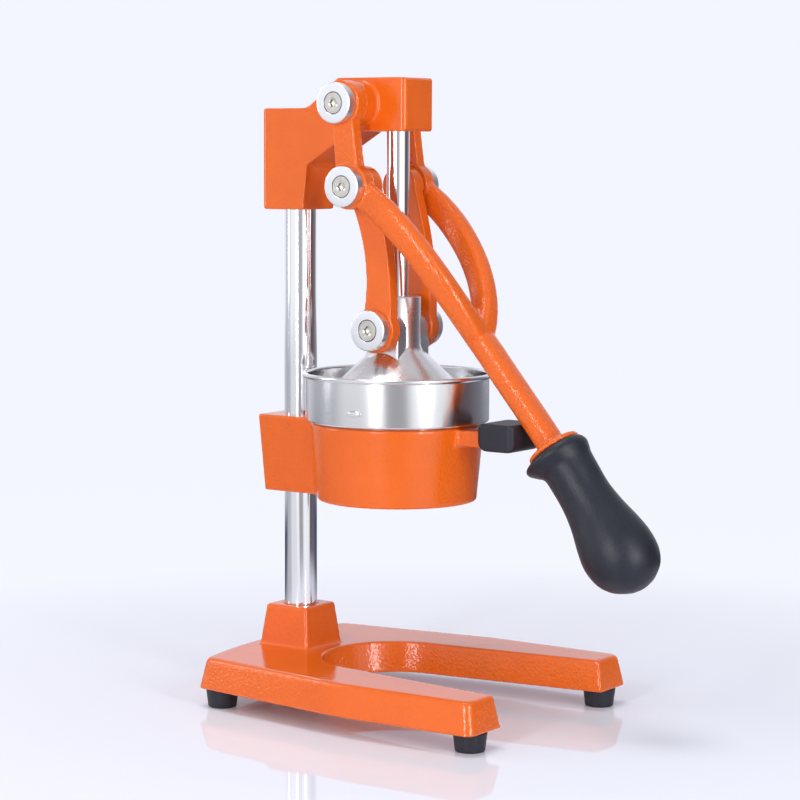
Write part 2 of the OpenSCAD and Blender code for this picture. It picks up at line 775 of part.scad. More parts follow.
module bowl_pips() {
    difference() {
        for (i = [0:pips - 1])
            rotate([0, 0, pip_turn + 360 * i / pips]) translate([bowl_r + pip_out - pip_r, 0, ring_top + pip_up]) {
                translate([0, pip_half_l, 0]) rotate([90, 0, 0])
                    cylinder(h = 2 * pip_half_l, r = pip_r, $fn = small_fn);
                for (y = [-1, 1])
                    translate([0, y * pip_half_l, 0]) sphere(r = pip_r, $fn = small_fn);
            }
        translate([0, 0, ring_top]) cylinder(h = 2 * pip_up, r = bowl_r - sheet / 2, $fn = round_fn);
    }
}

module juice_bowl() {
    rim_z = bowl_top - rim_r;
    color("silver") placed() union() {
        bowl_pips();
        rotate_extrude($fn = round_fn) polygon(rounded(
            [[bowl_r, rim_z], [bowl_r, ring_top], [bowl_neck_r, ring_top], [bowl_neck_r, weld_z],
             [bowl_neck_r - sheet, weld_z], [bowl_neck_r - sheet, ring_top + sheet], [bowl_r - sheet, ring_top + sheet],
             [bowl_r - sheet, rim_z]],
            [0, bowl_corner_r, bowl_neck_bend - sheet, 0, 0, bowl_neck_bend, bowl_corner_r - sheet, 0],
            corner_steps));
        rotate_extrude($fn = round_fn) translate([bowl_r - sheet / 2 + rim_r * rim_out_share, rim_z])
            circle(r = rim_r, $fn = small_fn);
    }
}

module bowl_funnel() {
    collar_in = spout_d / 2 + fixed_gap;
    color("silver") placed() rotate_extrude($fn = round_fn) polygon(rounded(
        [[bowl_neck_r, weld_z], [bowl_neck_r, weld_z - funnel_rim_h - sheet], [collar_in + sheet, funnel_low - sheet],
         [collar_in + sheet, funnel_low - funnel_collar_h], [collar_in, funnel_low - funnel_collar_h],
         [collar_in, funnel_low], [bowl_neck_r - sheet, weld_z - funnel_rim_h], [bowl_neck_r - sheet, weld_z]],
        [0, funnel_bend, funnel_bend / 2, 0, 0, 0, funnel_bend / 2, 0], corner_steps));
}

module spout() {
    color("silver") placed() translate([0, 0, spout_low]) difference() {
        cylinder(h = funnel_low - spout_low, r = spout_d / 2, $fn = round_fn);
        translate([0, 0, -cut]) cylinder(h = funnel_low - spout_low + 2 * cut, r = spout_d / 2 - sheet,
            $fn = round_fn);
    }
}

strainer_flange_r = bowl_r - sheet - bowl_corner_r;
strainer_gap = 1.2;
strainer_top_r = bowl_neck_r - sheet - strainer_gap;
strainer_taper = 5;
strainer_low_r = strainer_top_r - strainer_taper;
strainer_rows = 2;

module strainer() {
    row_gap = (strainer_low_r - sheet - reamer_d / 2) / (strainer_rows + 1);
    color("silver") placed() difference() {
        rotate_extrude($fn = round_fn) polygon([[strainer_flange_r, strainer_top], [strainer_top_r, strainer_top],
            [strainer_low_r, strainer_floor], [0, strainer_floor], [0, strainer_floor + sheet],
            [strainer_low_r - sheet, strainer_floor + sheet], [strainer_top_r - sheet, strainer_top + sheet],
            [strainer_flange_r, strainer_top + sheet]]);
        for (row = [1:strainer_rows])
            for (i = [0:strainer_holes - 1])
                rotate([0, 0, 360 * (i + row / 2) / strainer_holes])
                    translate([reamer_d / 2 + row * row_gap, 0, strainer_floor - cut])
                        cylinder(h = sheet + 2 * cut, r = strainer_hole_d / 2, $fn = small_fn);
    }
}

// A ridged cone: round at its foot, ridges that rise towards its point
ridge_points = 6;
ridge_depth_share = 0.2;
reamer_steps = 12;
reamer_curve = 1.7;
reamer_tip_share = 0.1;
function reamer_radius(t) = reamer_d / 2 * mix(1, reamer_tip_share, pow(t, reamer_curve));
function ridge_share(a, t) = 1 - ridge_depth_share * min(1, 3 * t) * (1 - abs(cos(ridges * a / 2)));

module reamer() {
    n = ridges * ridge_points;
    rings = [for (k = [0:reamer_steps]) let (t = k / reamer_steps)
        [for (i = [0:n - 1]) let (a = 360 * i / n) let (r = reamer_radius(t) * ridge_share(a, t))
            [r * cos(a), r * sin(a), strainer_floor + sheet + reamer_h * t]]];
    color("lightgray") placed() skin(rings);
}

// Press dome: neck, two flat ears for the links, flared cone and skirt

rod_down = 11;
rod_low = low_z - rod_down;
hollow_edge_in = 5;
hollow_edge_r = dome_d / 2 - hollow_edge_in;
hollow_ball_r = (hollow_edge_r * hollow_edge_r + hollow_h * hollow_h) / (2 * hollow_h);
ear_r = 15;
rod_screw_r = 4;
rod_screw_head_r = 7;
rod_screw_up = 18;
rod_screw_deep = 4;
rod_screw_gap = 0.2;
pin_wall = 1.6;

// The neck runs down to this depth below the lower pivot, where the cone begins
neck_down = 13;
neck_edge_r = 1.2;
neck_fillet = 7;
skirt_h = 3;
skirt_taper = 0.6;
skirt_shoulder_r = 1.2;
skirt_edge_r = 0.6;

function dome_outline() =
    let (neck_r = neck_d / 2)
    rounded(
        [[0, low_z + neck_up], [neck_r, low_z + neck_up], [neck_r, low_z - neck_down],
         [dome_d / 2 - skirt_taper, skirt_low + skirt_h], [dome_d / 2, skirt_low], [0, skirt_low]],
        [0, neck_edge_r, neck_fillet, skirt_shoulder_r, skirt_edge_r, 0], corner_steps);

module press_dome() {
    color("lightgray") placed() difference() {
        union() {
            rotate_extrude($fn = round_fn) polygon(dome_outline());
            cross_cylinder(-ear_side, ear_side, 0, low_z, ear_r, round_fn);
            translate([-ear_side, -ear_r, hollow_top - cut]) cube([2 * ear_side, 2 * ear_r, low_z - hollow_top + cut]);
        }
        translate([0, 0, hollow_top - hollow_ball_r]) sphere(r = hollow_ball_r, $fn = round_fn);
        translate([0, 0, rod_low]) cylinder(h = low_z + neck_up - rod_low + cut, r = rod_d / 2 + fixed_gap,
            $fn = round_fn);
        translate([0, 0, hollow_top - cut]) cylinder(h = rod_low - hollow_top + 2 * cut,
            r = rod_screw_r + rod_screw_gap, $fn = small_fn);
        translate([0, 0, hollow_top - rod_screw_deep / 2])
            cylinder(h = rod_screw_deep * 3 / 2, r = rod_screw_head_r + rod_screw_gap, $fn = small_fn);
        both_sides() cross_cylinder(rod_d / 2 + pin_wall, ear_side + cut, 0, low_z, pin_d / 2 + fixed_gap,
            round_fn);
    }
}

rod_edge = 1;
rod_top = head_top - rod_edge;

module guide_rod() {
    color("gainsboro") placed() difference() {
        rotate_extrude($fn = round_fn) polygon([[0, rod_low], [rod_d / 2, rod_low], [rod_d / 2, rod_top - rod_edge],
            [rod_d / 2 - rod_edge, rod_top], [0, rod_top]]);
        translate([0, 0, rod_low - cut]) cylinder(h = rod_screw_up + cut, r = rod_screw_r + fixed_gap, $fn = small_fn);
    }
}

module rod_screw() {
    socket_af = 5;
    socket_deep = 2.8;
    color("silver") placed() translate([0, 0, hollow_top]) difference() {
        union() {
            cylinder(h = rod_screw_deep, r = rod_screw_head_r, $fn = small_fn);
            cylinder(h = rod_low - hollow_top + rod_screw_up - end_gap, r = rod_screw_r, $fn = small_fn);
        }
        translate([0, 0, -cut]) cylinder(h = socket_deep + cut, r = socket_af / sqrt(3), $fn = 6);
    }
}

// Lever

// Control points of one arm's curve, from the middle pivot to where the arms meet:
// shares of the spread, the fork's reach and its drop
eye_mid = (eye_in + eye_out) / 2;
arm_start = [eye_mid, mid_y, mid_z];
arm_end = [0, join_y, join_z];
arm_out_shares = [0.02, -0.51, -0.2];
arm_in_shares = [0.86, 0.01, 0.27];
arm_past_join = 6;
function fork_span(shares) = [shares[0] * eye_mid, shares[1] * fork_reach, shares[2] * fork_drop];
arm_curve = [arm_start, arm_start + fork_span(arm_out_shares), arm_end + fork_span(arm_in_shares),
    arm_end - arm_past_join * [0, sin(handle_lean), cos(handle_lean)]];
arm_steps = 12;
// The arm's root is this much thinner than the eye that holds it, until it is clear of the cap
root_set_in = 2;
root_clear_share = 0.08;
root_full_share = 0.33;
// The arm's tip is this much thinner than the single arm that it runs into
tip_set_in = 1.2;
function root_share(t) = min(1, max(0, (t - root_clear_share) / (root_full_share - root_clear_share)));

module fork_arm() {
    skin([for (k = [0:arm_steps]) let (t = k / arm_steps)
        bar_ring(bezier(arm_curve, t), bezier_way(arm_curve, t),
            mix(eye_t - root_set_in, mix(fork_w, arm_w - tip_set_in, t * t * t), root_share(t)) / 2,
            mix(fork_t, arm_t - tip_set_in, t * t) / 2)]);
}

// Straight piece of the lever between its two pivots, as its outline seen from the side
upper_arm_t = 16;
upper_arm_low_t = 18;
crank_set_in = 0.5;
function crank_outline() =
    let (way = unit([mid_y - top_y, mid_z - top_z]))
    let (across = [-way[1], way[0]])
    let (a = [top_y, top_z])
    let (b = [mid_y, mid_z])
    [a - across * upper_arm_t / 2, b - across * upper_arm_low_t / 2, b + across * upper_arm_low_t / 2,
     a + across * upper_arm_t / 2];

module crank_arm() {
    translate([eye_in + crank_set_in, 0, 0]) rotate([90, 0, 90])
        linear_extrude(eye_t - 2 * crank_set_in) polygon(crank_outline());
}

tang_r = 6;
tang_share = 0.6;
tang_l = grip_l * tang_share;
arm_overlap = 12;
collar_rim = 1;
collar_flare = 2.5;

module lever() {
    color("orangered") placed() difference() {
        union() {
            both_sides() {
                cross_cylinder(eye_in, eye_out, top_y, top_z, eye_d / 2, round_fn);
                cross_cylinder(eye_in, eye_out, mid_y, mid_z, eye_d / 2, round_fn);
                crank_arm();
                fork_arm();
            }
            on_handle() skin([for (s = [-arm_overlap, arm_l])
                bar_ring([0, 0, s], [0, 0, 1], arm_w / 2, arm_t / 2)]);
            on_handle() rotate_extrude($fn = round_fn) polygon([[0, arm_l - collar_flare],
                [arm_t / 2 - tip_set_in, arm_l - collar_flare], [collar_d / 2 - collar_rim, arm_l],
                [collar_d / 2, arm_l + collar_rim], [collar_d / 2, grip_start], [tang_r, grip_start],
                [tang_r, grip_start + tang_l], [0, grip_start + tang_l]]);
        }
        both_sides() cross_cylinder(eye_in - cut, eye_out + cut, top_y, top_z, pin_d / 2 + running_gap, round_fn);
        both_sides() cross_cylinder(eye_in - cut, eye_out + cut, mid_y, mid_z, pin_d / 2 + fixed_gap, round_fn);
    }
}

// Grip: a moulded handle with a finger guard and a bulb that both reach further on its under side
module grip() {
    color("dimgray") placed() on_handle() difference() {
        skin([for (g = grip_rows)
            [for (i = [0:grip_sides - 1]) let (a = 360 * i / grip_sides) [g[1] * cos(a), g[1] * sin(a) - g[2], g[0]]]]);
        translate([0, 0, grip_start - cut]) cylinder(h = tang_l + end_gap + cut, r = tang_r + fixed_gap,
            $fn = small_fn);
    }
}

// Links: a bowed plate with a round eye at each end, hollow to the rear

link_low_eye_r = 15.3;
link_top_eye_r = 13.3;
link_rear_bow = 9.9;
link_front_bow = 4.5;
link_steps = 12;
// Half widths of the plate where it runs into its eyes
link_low_half = 12.8;
link_low_rear = 10.6;
link_top_rear = 11.5;
link_top_front = 12.5;

// The bowed part in its own plane: first number is the depth, second the height
function link_edge(low, top, bow, steps) =
    [for (i = [0:steps]) let (t = i / steps) [mix(low[0], top[0], t) - bow * 4 * t * (1 - t), mix(low[1], top[1], t)]];

module link() {
    low = [0, low_z];
    top = [mid_y, mid_z];
    rear = link_edge(low + [link_low_rear, 0], top + [link_top_rear, 0], link_rear_bow, link_steps);
    front = link_edge(low - [link_low_half, 0], top - [link_top_front, 0], link_front_bow, link_steps);
    color("orangered") placed() difference() {
        union() {
            cross_cylinder(link_in, link_out, 0, low_z, link_low_eye_r, round_fn);
            cross_cylinder(link_in, link_boss_side, mid_y, mid_z, link_top_eye_r, round_fn);
            translate([link_in, 0, 0]) rotate([90, 0, 90]) linear_extrude(link_t)
                polygon(concat(front, [for (i = [link_steps:-1:0]) rear[i]]));
        }
        cross_cylinder(link_in - cut, link_out + cut, 0, low_z, pin_d / 2 + running_gap, round_fn);
        cross_cylinder(link_in - cut, link_boss_side + cut, mid_y, mid_z, pin_d / 2 + running_gap, round_fn);
    }
}

module link_right() { link(); }
module link_left() { mirror([1, 0, 0]) link(); }

// Pivot pins, caps and screws

cap_edge = 0.7;
cap_screw_r = 4;
cap_screw_head_r = 7;
cap_screw_head_h = 3.4;
cap_screw_l = 21;
pin_hole_deep = 16;
cap_socket_af = 5;
cap_socket_deep = 3;

module cap(x, y, z) {
    translate([x, y, z]) rotate([0, 90, 0]) difference() {
        rotate_extrude($fn = round_fn) polygon([[0, 0], [cap_d / 2 - cap_edge, 0], [cap_d / 2, cap_edge],
            [cap_d / 2, cap_t - cap_edge], [cap_d / 2 - cap_edge, cap_t], [0, cap_t]]);
        translate([0, 0, -cut]) cylinder(h = cap_t + 2 * cut, r = cap_screw_r + fixed_gap, $fn = small_fn);
        translate([0, 0, cap_t - cap_screw_head_h]) cylinder(h = cap_screw_head_h, r1 = cap_screw_r + fixed_gap,
            r2 = cap_screw_head_r + fixed_gap, $fn = small_fn);
        translate([0, 0, cap_t]) cylinder(h = cut, r = cap_screw_head_r + fixed_gap, $fn = small_fn);
    }
}

// A countersunk socket screw whose head is flush with the cap's face at x
module cap_screw(x, y, z, l) {
    translate([x, y, z]) rotate([0, -90, 0]) difference() {
        union() {
            cylinder(h = cap_screw_head_h, r1 = cap_screw_head_r, r2 = cap_screw_r, $fn = small_fn);
            cylinder(h = l, r = cap_screw_r, $fn = small_fn);
        }
        translate([0, 0, -cut]) cylinder(h = cap_socket_deep + cut, r = cap_socket_af / sqrt(3), $fn = 6);
    }
}

module top_axle() {
    color("silver") placed() difference() {
        cross_cylinder(-top_cap_in, top_cap_in, top_y, top_z, pin_d / 2, round_fn);
        both_sides() cross_cylinder(top_cap_in - pin_hole_deep, top_cap_in + cut, top_y, top_z,
            cap_screw_r + fixed_gap, small_fn);
    }
}

module top_caps() {
    color("whitesmoke") placed() both_sides() cap(top_cap_in, top_y, top_z);
}

module top_screws() {
    color("silver") placed() both_sides() cap_screw(top_cap_in + cap_t, top_y, top_z, cap_screw_l);
}

module middle_pins() {
    color("silver") placed() both_sides() difference() {
        cross_cylinder(eye_in, mid_cap_in, mid_y, mid_z, pin_d / 2, round_fn);
        cross_cylinder(eye_in - cut, mid_cap_in + cut, mid_y, mid_z, cap_screw_r + fixed_gap, small_fn);
    }
}

module middle_caps() {
    color("whitesmoke") placed() both_sides() cap(mid_cap_in, mid_y, mid_z);
}

module middle_screws() {
    color("silver") placed() both_sides() cap_screw(mid_cap_in + cap_t, mid_y, mid_z, cap_t + eye_t - side_gap);
}

lower_pin_in = rod_d / 2 + pin_wall + side_gap;
module lower_pins() {
    color("silver") placed() both_sides() difference() {
        cross_cylinder(lower_pin_in, low_cap_in, 0, low_z, pin_d / 2, round_fn);
        cross_cylinder(low_cap_in - pin_hole_deep, low_cap_in + cut, 0, low_z, cap_screw_r + fixed_gap, small_fn);
    }
}

module lower_caps() {
    color("whitesmoke") placed() both_sides() cap(low_cap_in, 0, low_z);
}

module lower_screws() {
    color("silver") placed() both_sides() cap_screw(low_cap_in + cap_t, 0, low_z, cap_screw_l);
}

base();
foot_front_left();
foot_front_right();
foot_rear_left();
foot_rear_right();
foot_screws();
column();
column_bolt();
column_washer();
head();
head_set_screws();
guide_bush();
bowl_holder();
holder_set_screws();
stop_bumper();
juice_bowl();
bowl_funnel();
spout();
strainer();
reamer();
press_dome();
guide_rod();
rod_screw();
lever();
grip();
link_left();
link_right();
top_axle();
top_caps();
top_screws();
middle_pins();
middle_caps();
middle_screws();
lower_pins();
lower_caps();
lower_screws();
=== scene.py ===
"""Looks of a lever citrus juice press: its castings, bars, bowl, dome and grip, in a plain studio.

Sizes are in millimetres about the press axis, as on the solids. They become metres in the
frame's own place when a mesh is made. +Z is up and -Y is the front, where the lever's grip is.
"""

import logging
import math
from collections.abc import Callable, Iterable, Sequence
from dataclasses import dataclass, field
from enum import Enum
from functools import cache

import bmesh
import bpy
from mathutils import Matrix, Vector


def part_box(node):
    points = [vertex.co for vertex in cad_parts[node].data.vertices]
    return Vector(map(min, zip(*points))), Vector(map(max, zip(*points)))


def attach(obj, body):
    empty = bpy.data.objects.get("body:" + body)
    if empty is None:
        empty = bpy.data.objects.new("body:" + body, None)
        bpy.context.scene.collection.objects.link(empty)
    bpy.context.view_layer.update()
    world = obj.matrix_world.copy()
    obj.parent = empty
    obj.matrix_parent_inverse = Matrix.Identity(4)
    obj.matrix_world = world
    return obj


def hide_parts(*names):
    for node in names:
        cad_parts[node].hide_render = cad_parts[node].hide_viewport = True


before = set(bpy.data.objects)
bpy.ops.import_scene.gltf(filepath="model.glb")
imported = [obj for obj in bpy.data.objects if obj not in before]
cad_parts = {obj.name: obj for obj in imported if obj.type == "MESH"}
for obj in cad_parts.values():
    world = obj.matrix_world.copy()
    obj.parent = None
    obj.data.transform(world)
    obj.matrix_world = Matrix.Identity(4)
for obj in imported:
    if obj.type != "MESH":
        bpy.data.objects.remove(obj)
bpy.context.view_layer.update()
LOG = logging.getLogger("press")

MM = 0.001
COLUMN_BACK = 80.0
ROUND = 96
FINE = 160
Pair = tuple[float, float]
Colour = tuple[float, float, float]


def axis_depth() -> float:
    """Returns the press axis's depth in the frame, in metres, from the column that stands behind it."""
    low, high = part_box("column")
    return (low.y + high.y) / 2 - COLUMN_BACK * MM


AXIS_Y = axis_depth()


class Slot(Enum):
    """The record's material slots, by name."""

    CAST = "orange_cast"
    RUBBER = "foot_rubber"
    CHROME = "chrome_bar"
    BOWL = "bowl_steel"
    ALUMINIUM = "polished_aluminium"
    GRIP = "grip_black"
    CAP = "cap_steel"
    SCREW = "screw_steel"


class Body(Enum):
    """The bodies that pieces ride on."""

    STAND = "stand"
    LEVER = "lever"
    PRESS = "press"
    LINKS = "links"


# Node trees


class Value:
    """A socket of a node tree, with arithmetic that adds Math nodes."""

    def __init__(self, tree: "Tree", socket: bpy.types.NodeSocket) -> None:
        """Keeps the tree and the socket.

        Args:
            tree: The tree that the socket is in.
            socket: An output socket.
        """
        self.tree = tree
        self.socket = socket

    def math(self, operation: str, *others: "Value | float") -> "Value":
        """Adds a Math node that starts from this value.

        Args:
            operation: The node's operation.
            others: Its other inputs.

        Returns:
            The node's result.
        """
        return self.tree.node("ShaderNodeMath", {"operation": operation}, [self, *others])

    def clamp(self, low: float = 0.0, high: float = 1.0) -> "Value":
        """Returns the value held between two limits."""
        return self.math("MAXIMUM", low).math("MINIMUM", high)

    def __add__(self, other: "Value | float") -> "Value":
        """Returns the sum."""
        return self.math("ADD", other)

    __radd__ = __add__

    def __sub__(self, other: "Value | float") -> "Value":
        """Returns the difference."""
        return self.math("SUBTRACT", other)

    def __rsub__(self, other: float) -> "Value":
        """Returns a number less this value."""
        return (self * -1.0) + other

    def __mul__(self, other: "Value | float") -> "Value":
        """Returns the product."""
        return self.math("MULTIPLY", other)

    __rmul__ = __mul__

    def __truediv__(self, other: "Value | float") -> "Value":
        """Returns the quotient."""
        return self.math("DIVIDE", other)

    def __pow__(self, other: "Value | float") -> "Value":
        """Returns the power."""
        return self.math("POWER", other)


class Tree:
    """A node tree and the one method that adds a node to it."""

    def __init__(self, tree: bpy.types.NodeTree) -> None:
        """Keeps the tree.

        Args:
            tree: The tree to build in.
        """
        self.tree = tree

    def node(
        self,
        kind: str,
        settings: dict[str, object],
        inputs: "dict[str | int, object] | Sequence[object]",
        pick: str | int = 0,
    ) -> Value:
        """Adds a node, sets it and links it.

        Args:
            kind: The node's type.
            settings: Its settings, and stops, a ramp's places and colours.
            inputs: Values or links by socket name or number.
            pick: The output to hand back.

        Returns:
            The picked output.
        """
        made = self.tree.nodes.new(kind)
        for name, value in settings.items():
            if name == "stops":
                ramp = made.color_ramp
                while len(ramp.elements) < len(value):
                    ramp.elements.new(0.5)
                for element, (place, colour) in zip(ramp.elements, value):
                    element.position = place
                    element.color = colour
            else:
                setattr(made, name, value)
        for key, value in inputs.items() if isinstance(inputs, dict) else enumerate(inputs):
            if isinstance(value, Value):
                self.tree.links.new(value.socket, made.inputs[key])
            else:
                made.inputs[key].default_value = value
        return Value(self, made.outputs[pick] if len(made.outputs) else made.inputs[0])

    def place(self) -> Value:
        """Returns the Object coordinates, which are metres in the frame."""
        return self.node("ShaderNodeTexCoord", {}, {}, "Object")

    def axes(self, vector: Value) -> list[Value]:
        """Returns the three parts of a vector."""
        first = self.node("ShaderNodeSeparateXYZ", {}, [vector])
        return [Value(self, s) for s in first.socket.node.outputs]

    def rays(self) -> tuple[Value, Value]:
        """Returns what is 1 on rays from the camera, and what is 1 on rays that bright metal throws back."""
        outs = self.node("ShaderNodeLightPath", {}, {}).socket.node.outputs
        return Value(self, outs["Is Camera Ray"]), Value(self, outs["Is Glossy Ray"])

    def polar(self, radius: Value, angle: Value, z: Value) -> Value:
        """Returns the place at a radius and an angle round the press axis, at a height."""
        across, along = radius * angle.math("COSINE"), radius * angle.math("SINE") + AXIS_Y
        return self.node("ShaderNodeCombineXYZ", {}, [across, along, z])

    def noise(self, at: Value, size: float, detail: float = 2.0, rough: float = 0.5) -> Value:
        """Adds a noise with features of a given size.

        Args:
            at: The coordinates.
            size: The features' size, in millimetres.
            detail: Its octaves.
            rough: How strong the finer octaves are.

        Returns:
            The noise, about 0.5.
        """
        inputs = {"Vector": at, "Scale": 1 / (size * MM), "Detail": detail, "Roughness": rough}
        return self.node("ShaderNodeTexNoise", {}, inputs)

    def cells(self, at: Value, size: float) -> Value:
        """Adds soft pebbles.

        Args:
            at: The coordinates.
            size: A pebble's size, in millimetres.

        Returns:
            The distance from the nearest pebble's middle, in pebbles.
        """
        inputs = {"Vector": at, "Scale": 1 / (size * MM), "Smoothness": 0.6}
        return self.node("ShaderNodeTexVoronoi", {"feature": "SMOOTH_F1"}, inputs)

    def bump(self, height: Value, depth: float, strength: float = 1.0, under: Value | None = None) -> Value:
        """Adds a bump.

        Args:
            height: The height, from 0 to 1.
            depth: The height of 1, in millimetres.
            strength: How much of the bump shows.
            under: A bump that this one lies on.

        Returns:
            The normal.
        """
        inputs = {"Strength": strength, "Distance": depth * MM, "Height": height}
        if under is not None:
            inputs["Normal"] = under
        return self.node("ShaderNodeBump", {}, inputs)

    def blend(self, factor: "Value | float", a: "Value | Colour", b: "Value | Colour") -> Value:
        """Mixes two colours.

        Args:
            factor: The share of b.
            a: The first colour.
            b: The second colour.

        Returns:
            The mixed colour.
        """
        full = [c if isinstance(c, Value) else (*c, 1.0) for c in (a, b)]
        return self.node("ShaderNodeMix", {"data_type": "RGBA"}, {0: factor, 6: full[0], 7: full[1]}, 2)


# Finishes


@dataclass(frozen=True)
class Finish:
    """A finish that becomes a material when it is first used."""

    name: str
    colour: Colour
    roughness: float

    def material(self) -> bpy.types.Material:
        """Returns the finish's material."""
        found = bpy.data.materials.get(self.name)
        if found is not None:
            return found
        made = bpy.data.materials.new(self.name)
        made.use_nodes = True
        made.diffuse_color = (*self.colour, 1.0)
        shader = made.node_tree.nodes["Principled BSDF"]
        shader.inputs["Roughness"].default_value = self.roughness
        shader.inputs["Base Color"].default_value = (*self.colour, 1.0)
        for name, value in self.dress(Tree(made.node_tree)).items():
            if isinstance(value, Value):
                made.node_tree.links.new(value.socket, shader.inputs[name])
            else:
                shader.inputs[name].default_value = value
        return made

    def dress(self, tree: Tree) -> dict[str, object]:
        """Builds what varies over the surface.

        Args:
            tree: The material's tree.

        Returns:
            Values or links by the shader's socket names.
        """
        raise NotImplementedError


@dataclass(frozen=True)
class Paint(Finish):
    """Glossy baked paint over cast iron, pebbled by the casting's skin."""

    pebble: float = 1.5
    pebble_depth: float = 0.2
    peel: float = 4.0
    peel_depth: float = 0.1
    level: float = -50.0

    def dress(self, tree: Tree) -> dict[str, object]:
        """Returns orange paint with pebbles and orange peel, smooth on the flat top at `level`. Its colour
        has a random tone plus painted shade: darker in the hollows between pebbles, lighter on their tops.
        """
        at = tree.place()
        calm = (tree.axes(at)[2] / MM - self.level).math("ABSOLUTE").clamp(0.2)
        peel = tree.noise(at, self.peel, 1.0)
        pebble = tree.cells(at, self.pebble)
        grain = tree.noise(at, self.pebble * 0.6, 2.0)
        height = (pebble * -0.7 + grain * 0.5) * calm
        shade = tree.noise(at, 30.0, 2.0)
        dark = tuple(c * 0.86 for c in self.colour)
        light = tuple(min(1.0, c * 1.08) for c in self.colour)
        under = tree.bump(peel, self.peel_depth)
        return {
            # Base colour: random tone from the broad noise, plus painted shade that darkens the hollows
            # between pebbles and lightens their tops.
            "Base Color": tree.blend(shade * 0.7 + pebble * 0.3, light, dark),
            "Roughness": grain * 0.12 + (self.roughness - 0.06),
            "Normal": tree.bump(height, self.pebble_depth, 1.0, under),
        }


@dataclass(frozen=True)
class Bar(Finish):
    """Chromed bar with faint draw marks along it."""

    def dress(self, tree: Tree) -> dict[str, object]:
        """Returns bright chrome."""
        x, y, z = tree.axes(tree.place())
        across = tree.node("ShaderNodeCombineXYZ", {}, [x, y, z * 0.08])
        draw = tree.noise(across, 0.7, 3.0)
        cloud = tree.noise(tree.place(), 9.0, 3.0)
        return {
            "Metallic": 1.0,
            "Roughness": cloud * 0.08 + (self.roughness - 0.04),
            "Normal": tree.bump(draw, 0.004),
        }


@dataclass(frozen=True)
class Turned(Finish):
    """Bright metal with fine rings left by turning or spinning about the upright axis."""

    ring: float = 0.25
    ring_depth: float = 0.01
    stretch: float = 0.5

    def dress(self, tree: Tree) -> dict[str, object]:
        """Returns spun sheet with rings that run round it."""
        at = tree.place()
        height = tree.axes(at)[2] / MM
        inputs = {"W": height, "Scale": 1 / self.ring, "Detail": 2.0}
        rings = tree.node("ShaderNodeTexNoise", {"noise_dimensions": "1D"}, inputs)
        cloud = tree.noise(at, 14.0, 3.0)
        dark = tuple(c * 0.9 for c in self.colour)
        return {
            "Base Color": tree.blend(rings * 0.5 + cloud * 0.5, self.colour, dark),
            "Metallic": 1.0,
            "Roughness": rings * 0.1 + cloud * 0.08 + (self.roughness - 0.09),
            "Anisotropic": self.stretch,
            "Anisotropic Rotation": 0.25,
            "Normal": tree.bump(rings, self.ring_depth),
        }


@dataclass(frozen=True)
class Polished(Finish):
    """Bright metal with fine scratches in all directions."""

    cloud: float = 8.0
    scratch_depth: float = 0.006
    wave_depth: float = 0.02

    def dress(self, tree: Tree) -> dict[str, object]:
        """Returns metal with clouds in its shine."""
        at = tree.place()
        cloud = tree.noise(at, self.cloud, 4.0, 0.6)
        scratch = tree.noise(at, 0.5, 4.0, 0.7)
        dark = tuple(c * 0.86 for c in self.colour)
        under = tree.bump(cloud, self.wave_depth)
        return {
            "Base Color": tree.blend(cloud, self.colour, dark),
            "Metallic": 1.0,
            "Roughness": cloud * 0.14 + (self.roughness - 0.07),
            "Normal": tree.bump(scratch, self.scratch_depth, 1.0, under),
        }


@dataclass(frozen=True)
class Moulded(Finish):
    """Black moulded rubber or plastic with a fine grain and a few pale specks of dust."""

    grain: float = 0.5
    grain_depth: float = 0.04
    speck: float = 0.6

    def dress(self, tree: Tree) -> dict[str, object]:
        """Returns a matt black skin."""
        at = tree.place()
        grain = tree.noise(at, self.grain, 3.0)
        cloud = tree.noise(at, 12.0, 3.0)
        speck = tree.noise(at, self.speck, 0.0).math("GREATER_THAN", 0.79)
        pale = tuple(min(1.0, c * 2.0 + 0.03) for c in self.colour)
        soft = tuple(c * 1.5 for c in self.colour)
        body = tree.blend(cloud, self.colour, soft)
        return {
            "Base Color": tree.blend(speck * 0.6, body, pale),
            "Roughness": grain * 0.16 + cloud * 0.08 + (self.roughness - 0.12),
            "Specular IOR Level": 0.4,
            "Normal": tree.bump(grain, self.grain_depth),
        }


ORANGE = (0.82, 0.136, 0.008)
BASE_TOP = 33.5
ROUGH_PAINT = Paint(
    "pebbled_orange_paint", ORANGE, 0.1,
    pebble=1.7, pebble_depth=0.2, peel=5.0, peel_depth=0.08, level=BASE_TOP,
)
RING_PAINT = Paint(
    "fine_pebbled_orange_paint", ORANGE, 0.1,
    pebble=1.4, pebble_depth=0.17, peel=4.0, peel_depth=0.06,
)
LEVER_PAINT = Paint(
    "hammered_orange_paint", ORANGE, 0.1,
    pebble=1.7, pebble_depth=0.34, peel=5.0, peel_depth=0.16,
)
SMOOTH_PAINT = Paint(
    "smooth_orange_paint", ORANGE, 0.16,
    pebble=1.6, pebble_depth=0.014, peel=6.0, peel_depth=0.05,
)
CHROME = Bar("chromed_bar", (0.86, 0.86, 0.88), 0.1)
SPUN = Turned("spun_stainless_sheet", (0.8, 0.8, 0.81), 0.22)
DOME_METAL = Polished(
    "polished_cast_aluminium", (0.84, 0.84, 0.85), 0.28, cloud=12.0, scratch_depth=0.001, wave_depth=0.003
)
CAP_METAL = Polished(
    "satin_turned_steel", (0.93, 0.94, 0.965), 0.3, cloud=3.0, scratch_depth=0.003, wave_depth=0.003
)
SCREW_METAL = Polished(
    "nickelled_screw_steel", (0.72, 0.69, 0.64), 0.3, cloud=2.0, scratch_depth=0.002, wave_depth=0.003
)
PLAIN_METAL = Polished("plain_bright_steel", (0.6, 0.6, 0.61), 0.32)
BLACK_METAL = Polished("blackened_steel", (0.06, 0.06, 0.065), 0.4)
BUSH_METAL = Polished("sintered_bronze", (0.62, 0.44, 0.22), 0.38)
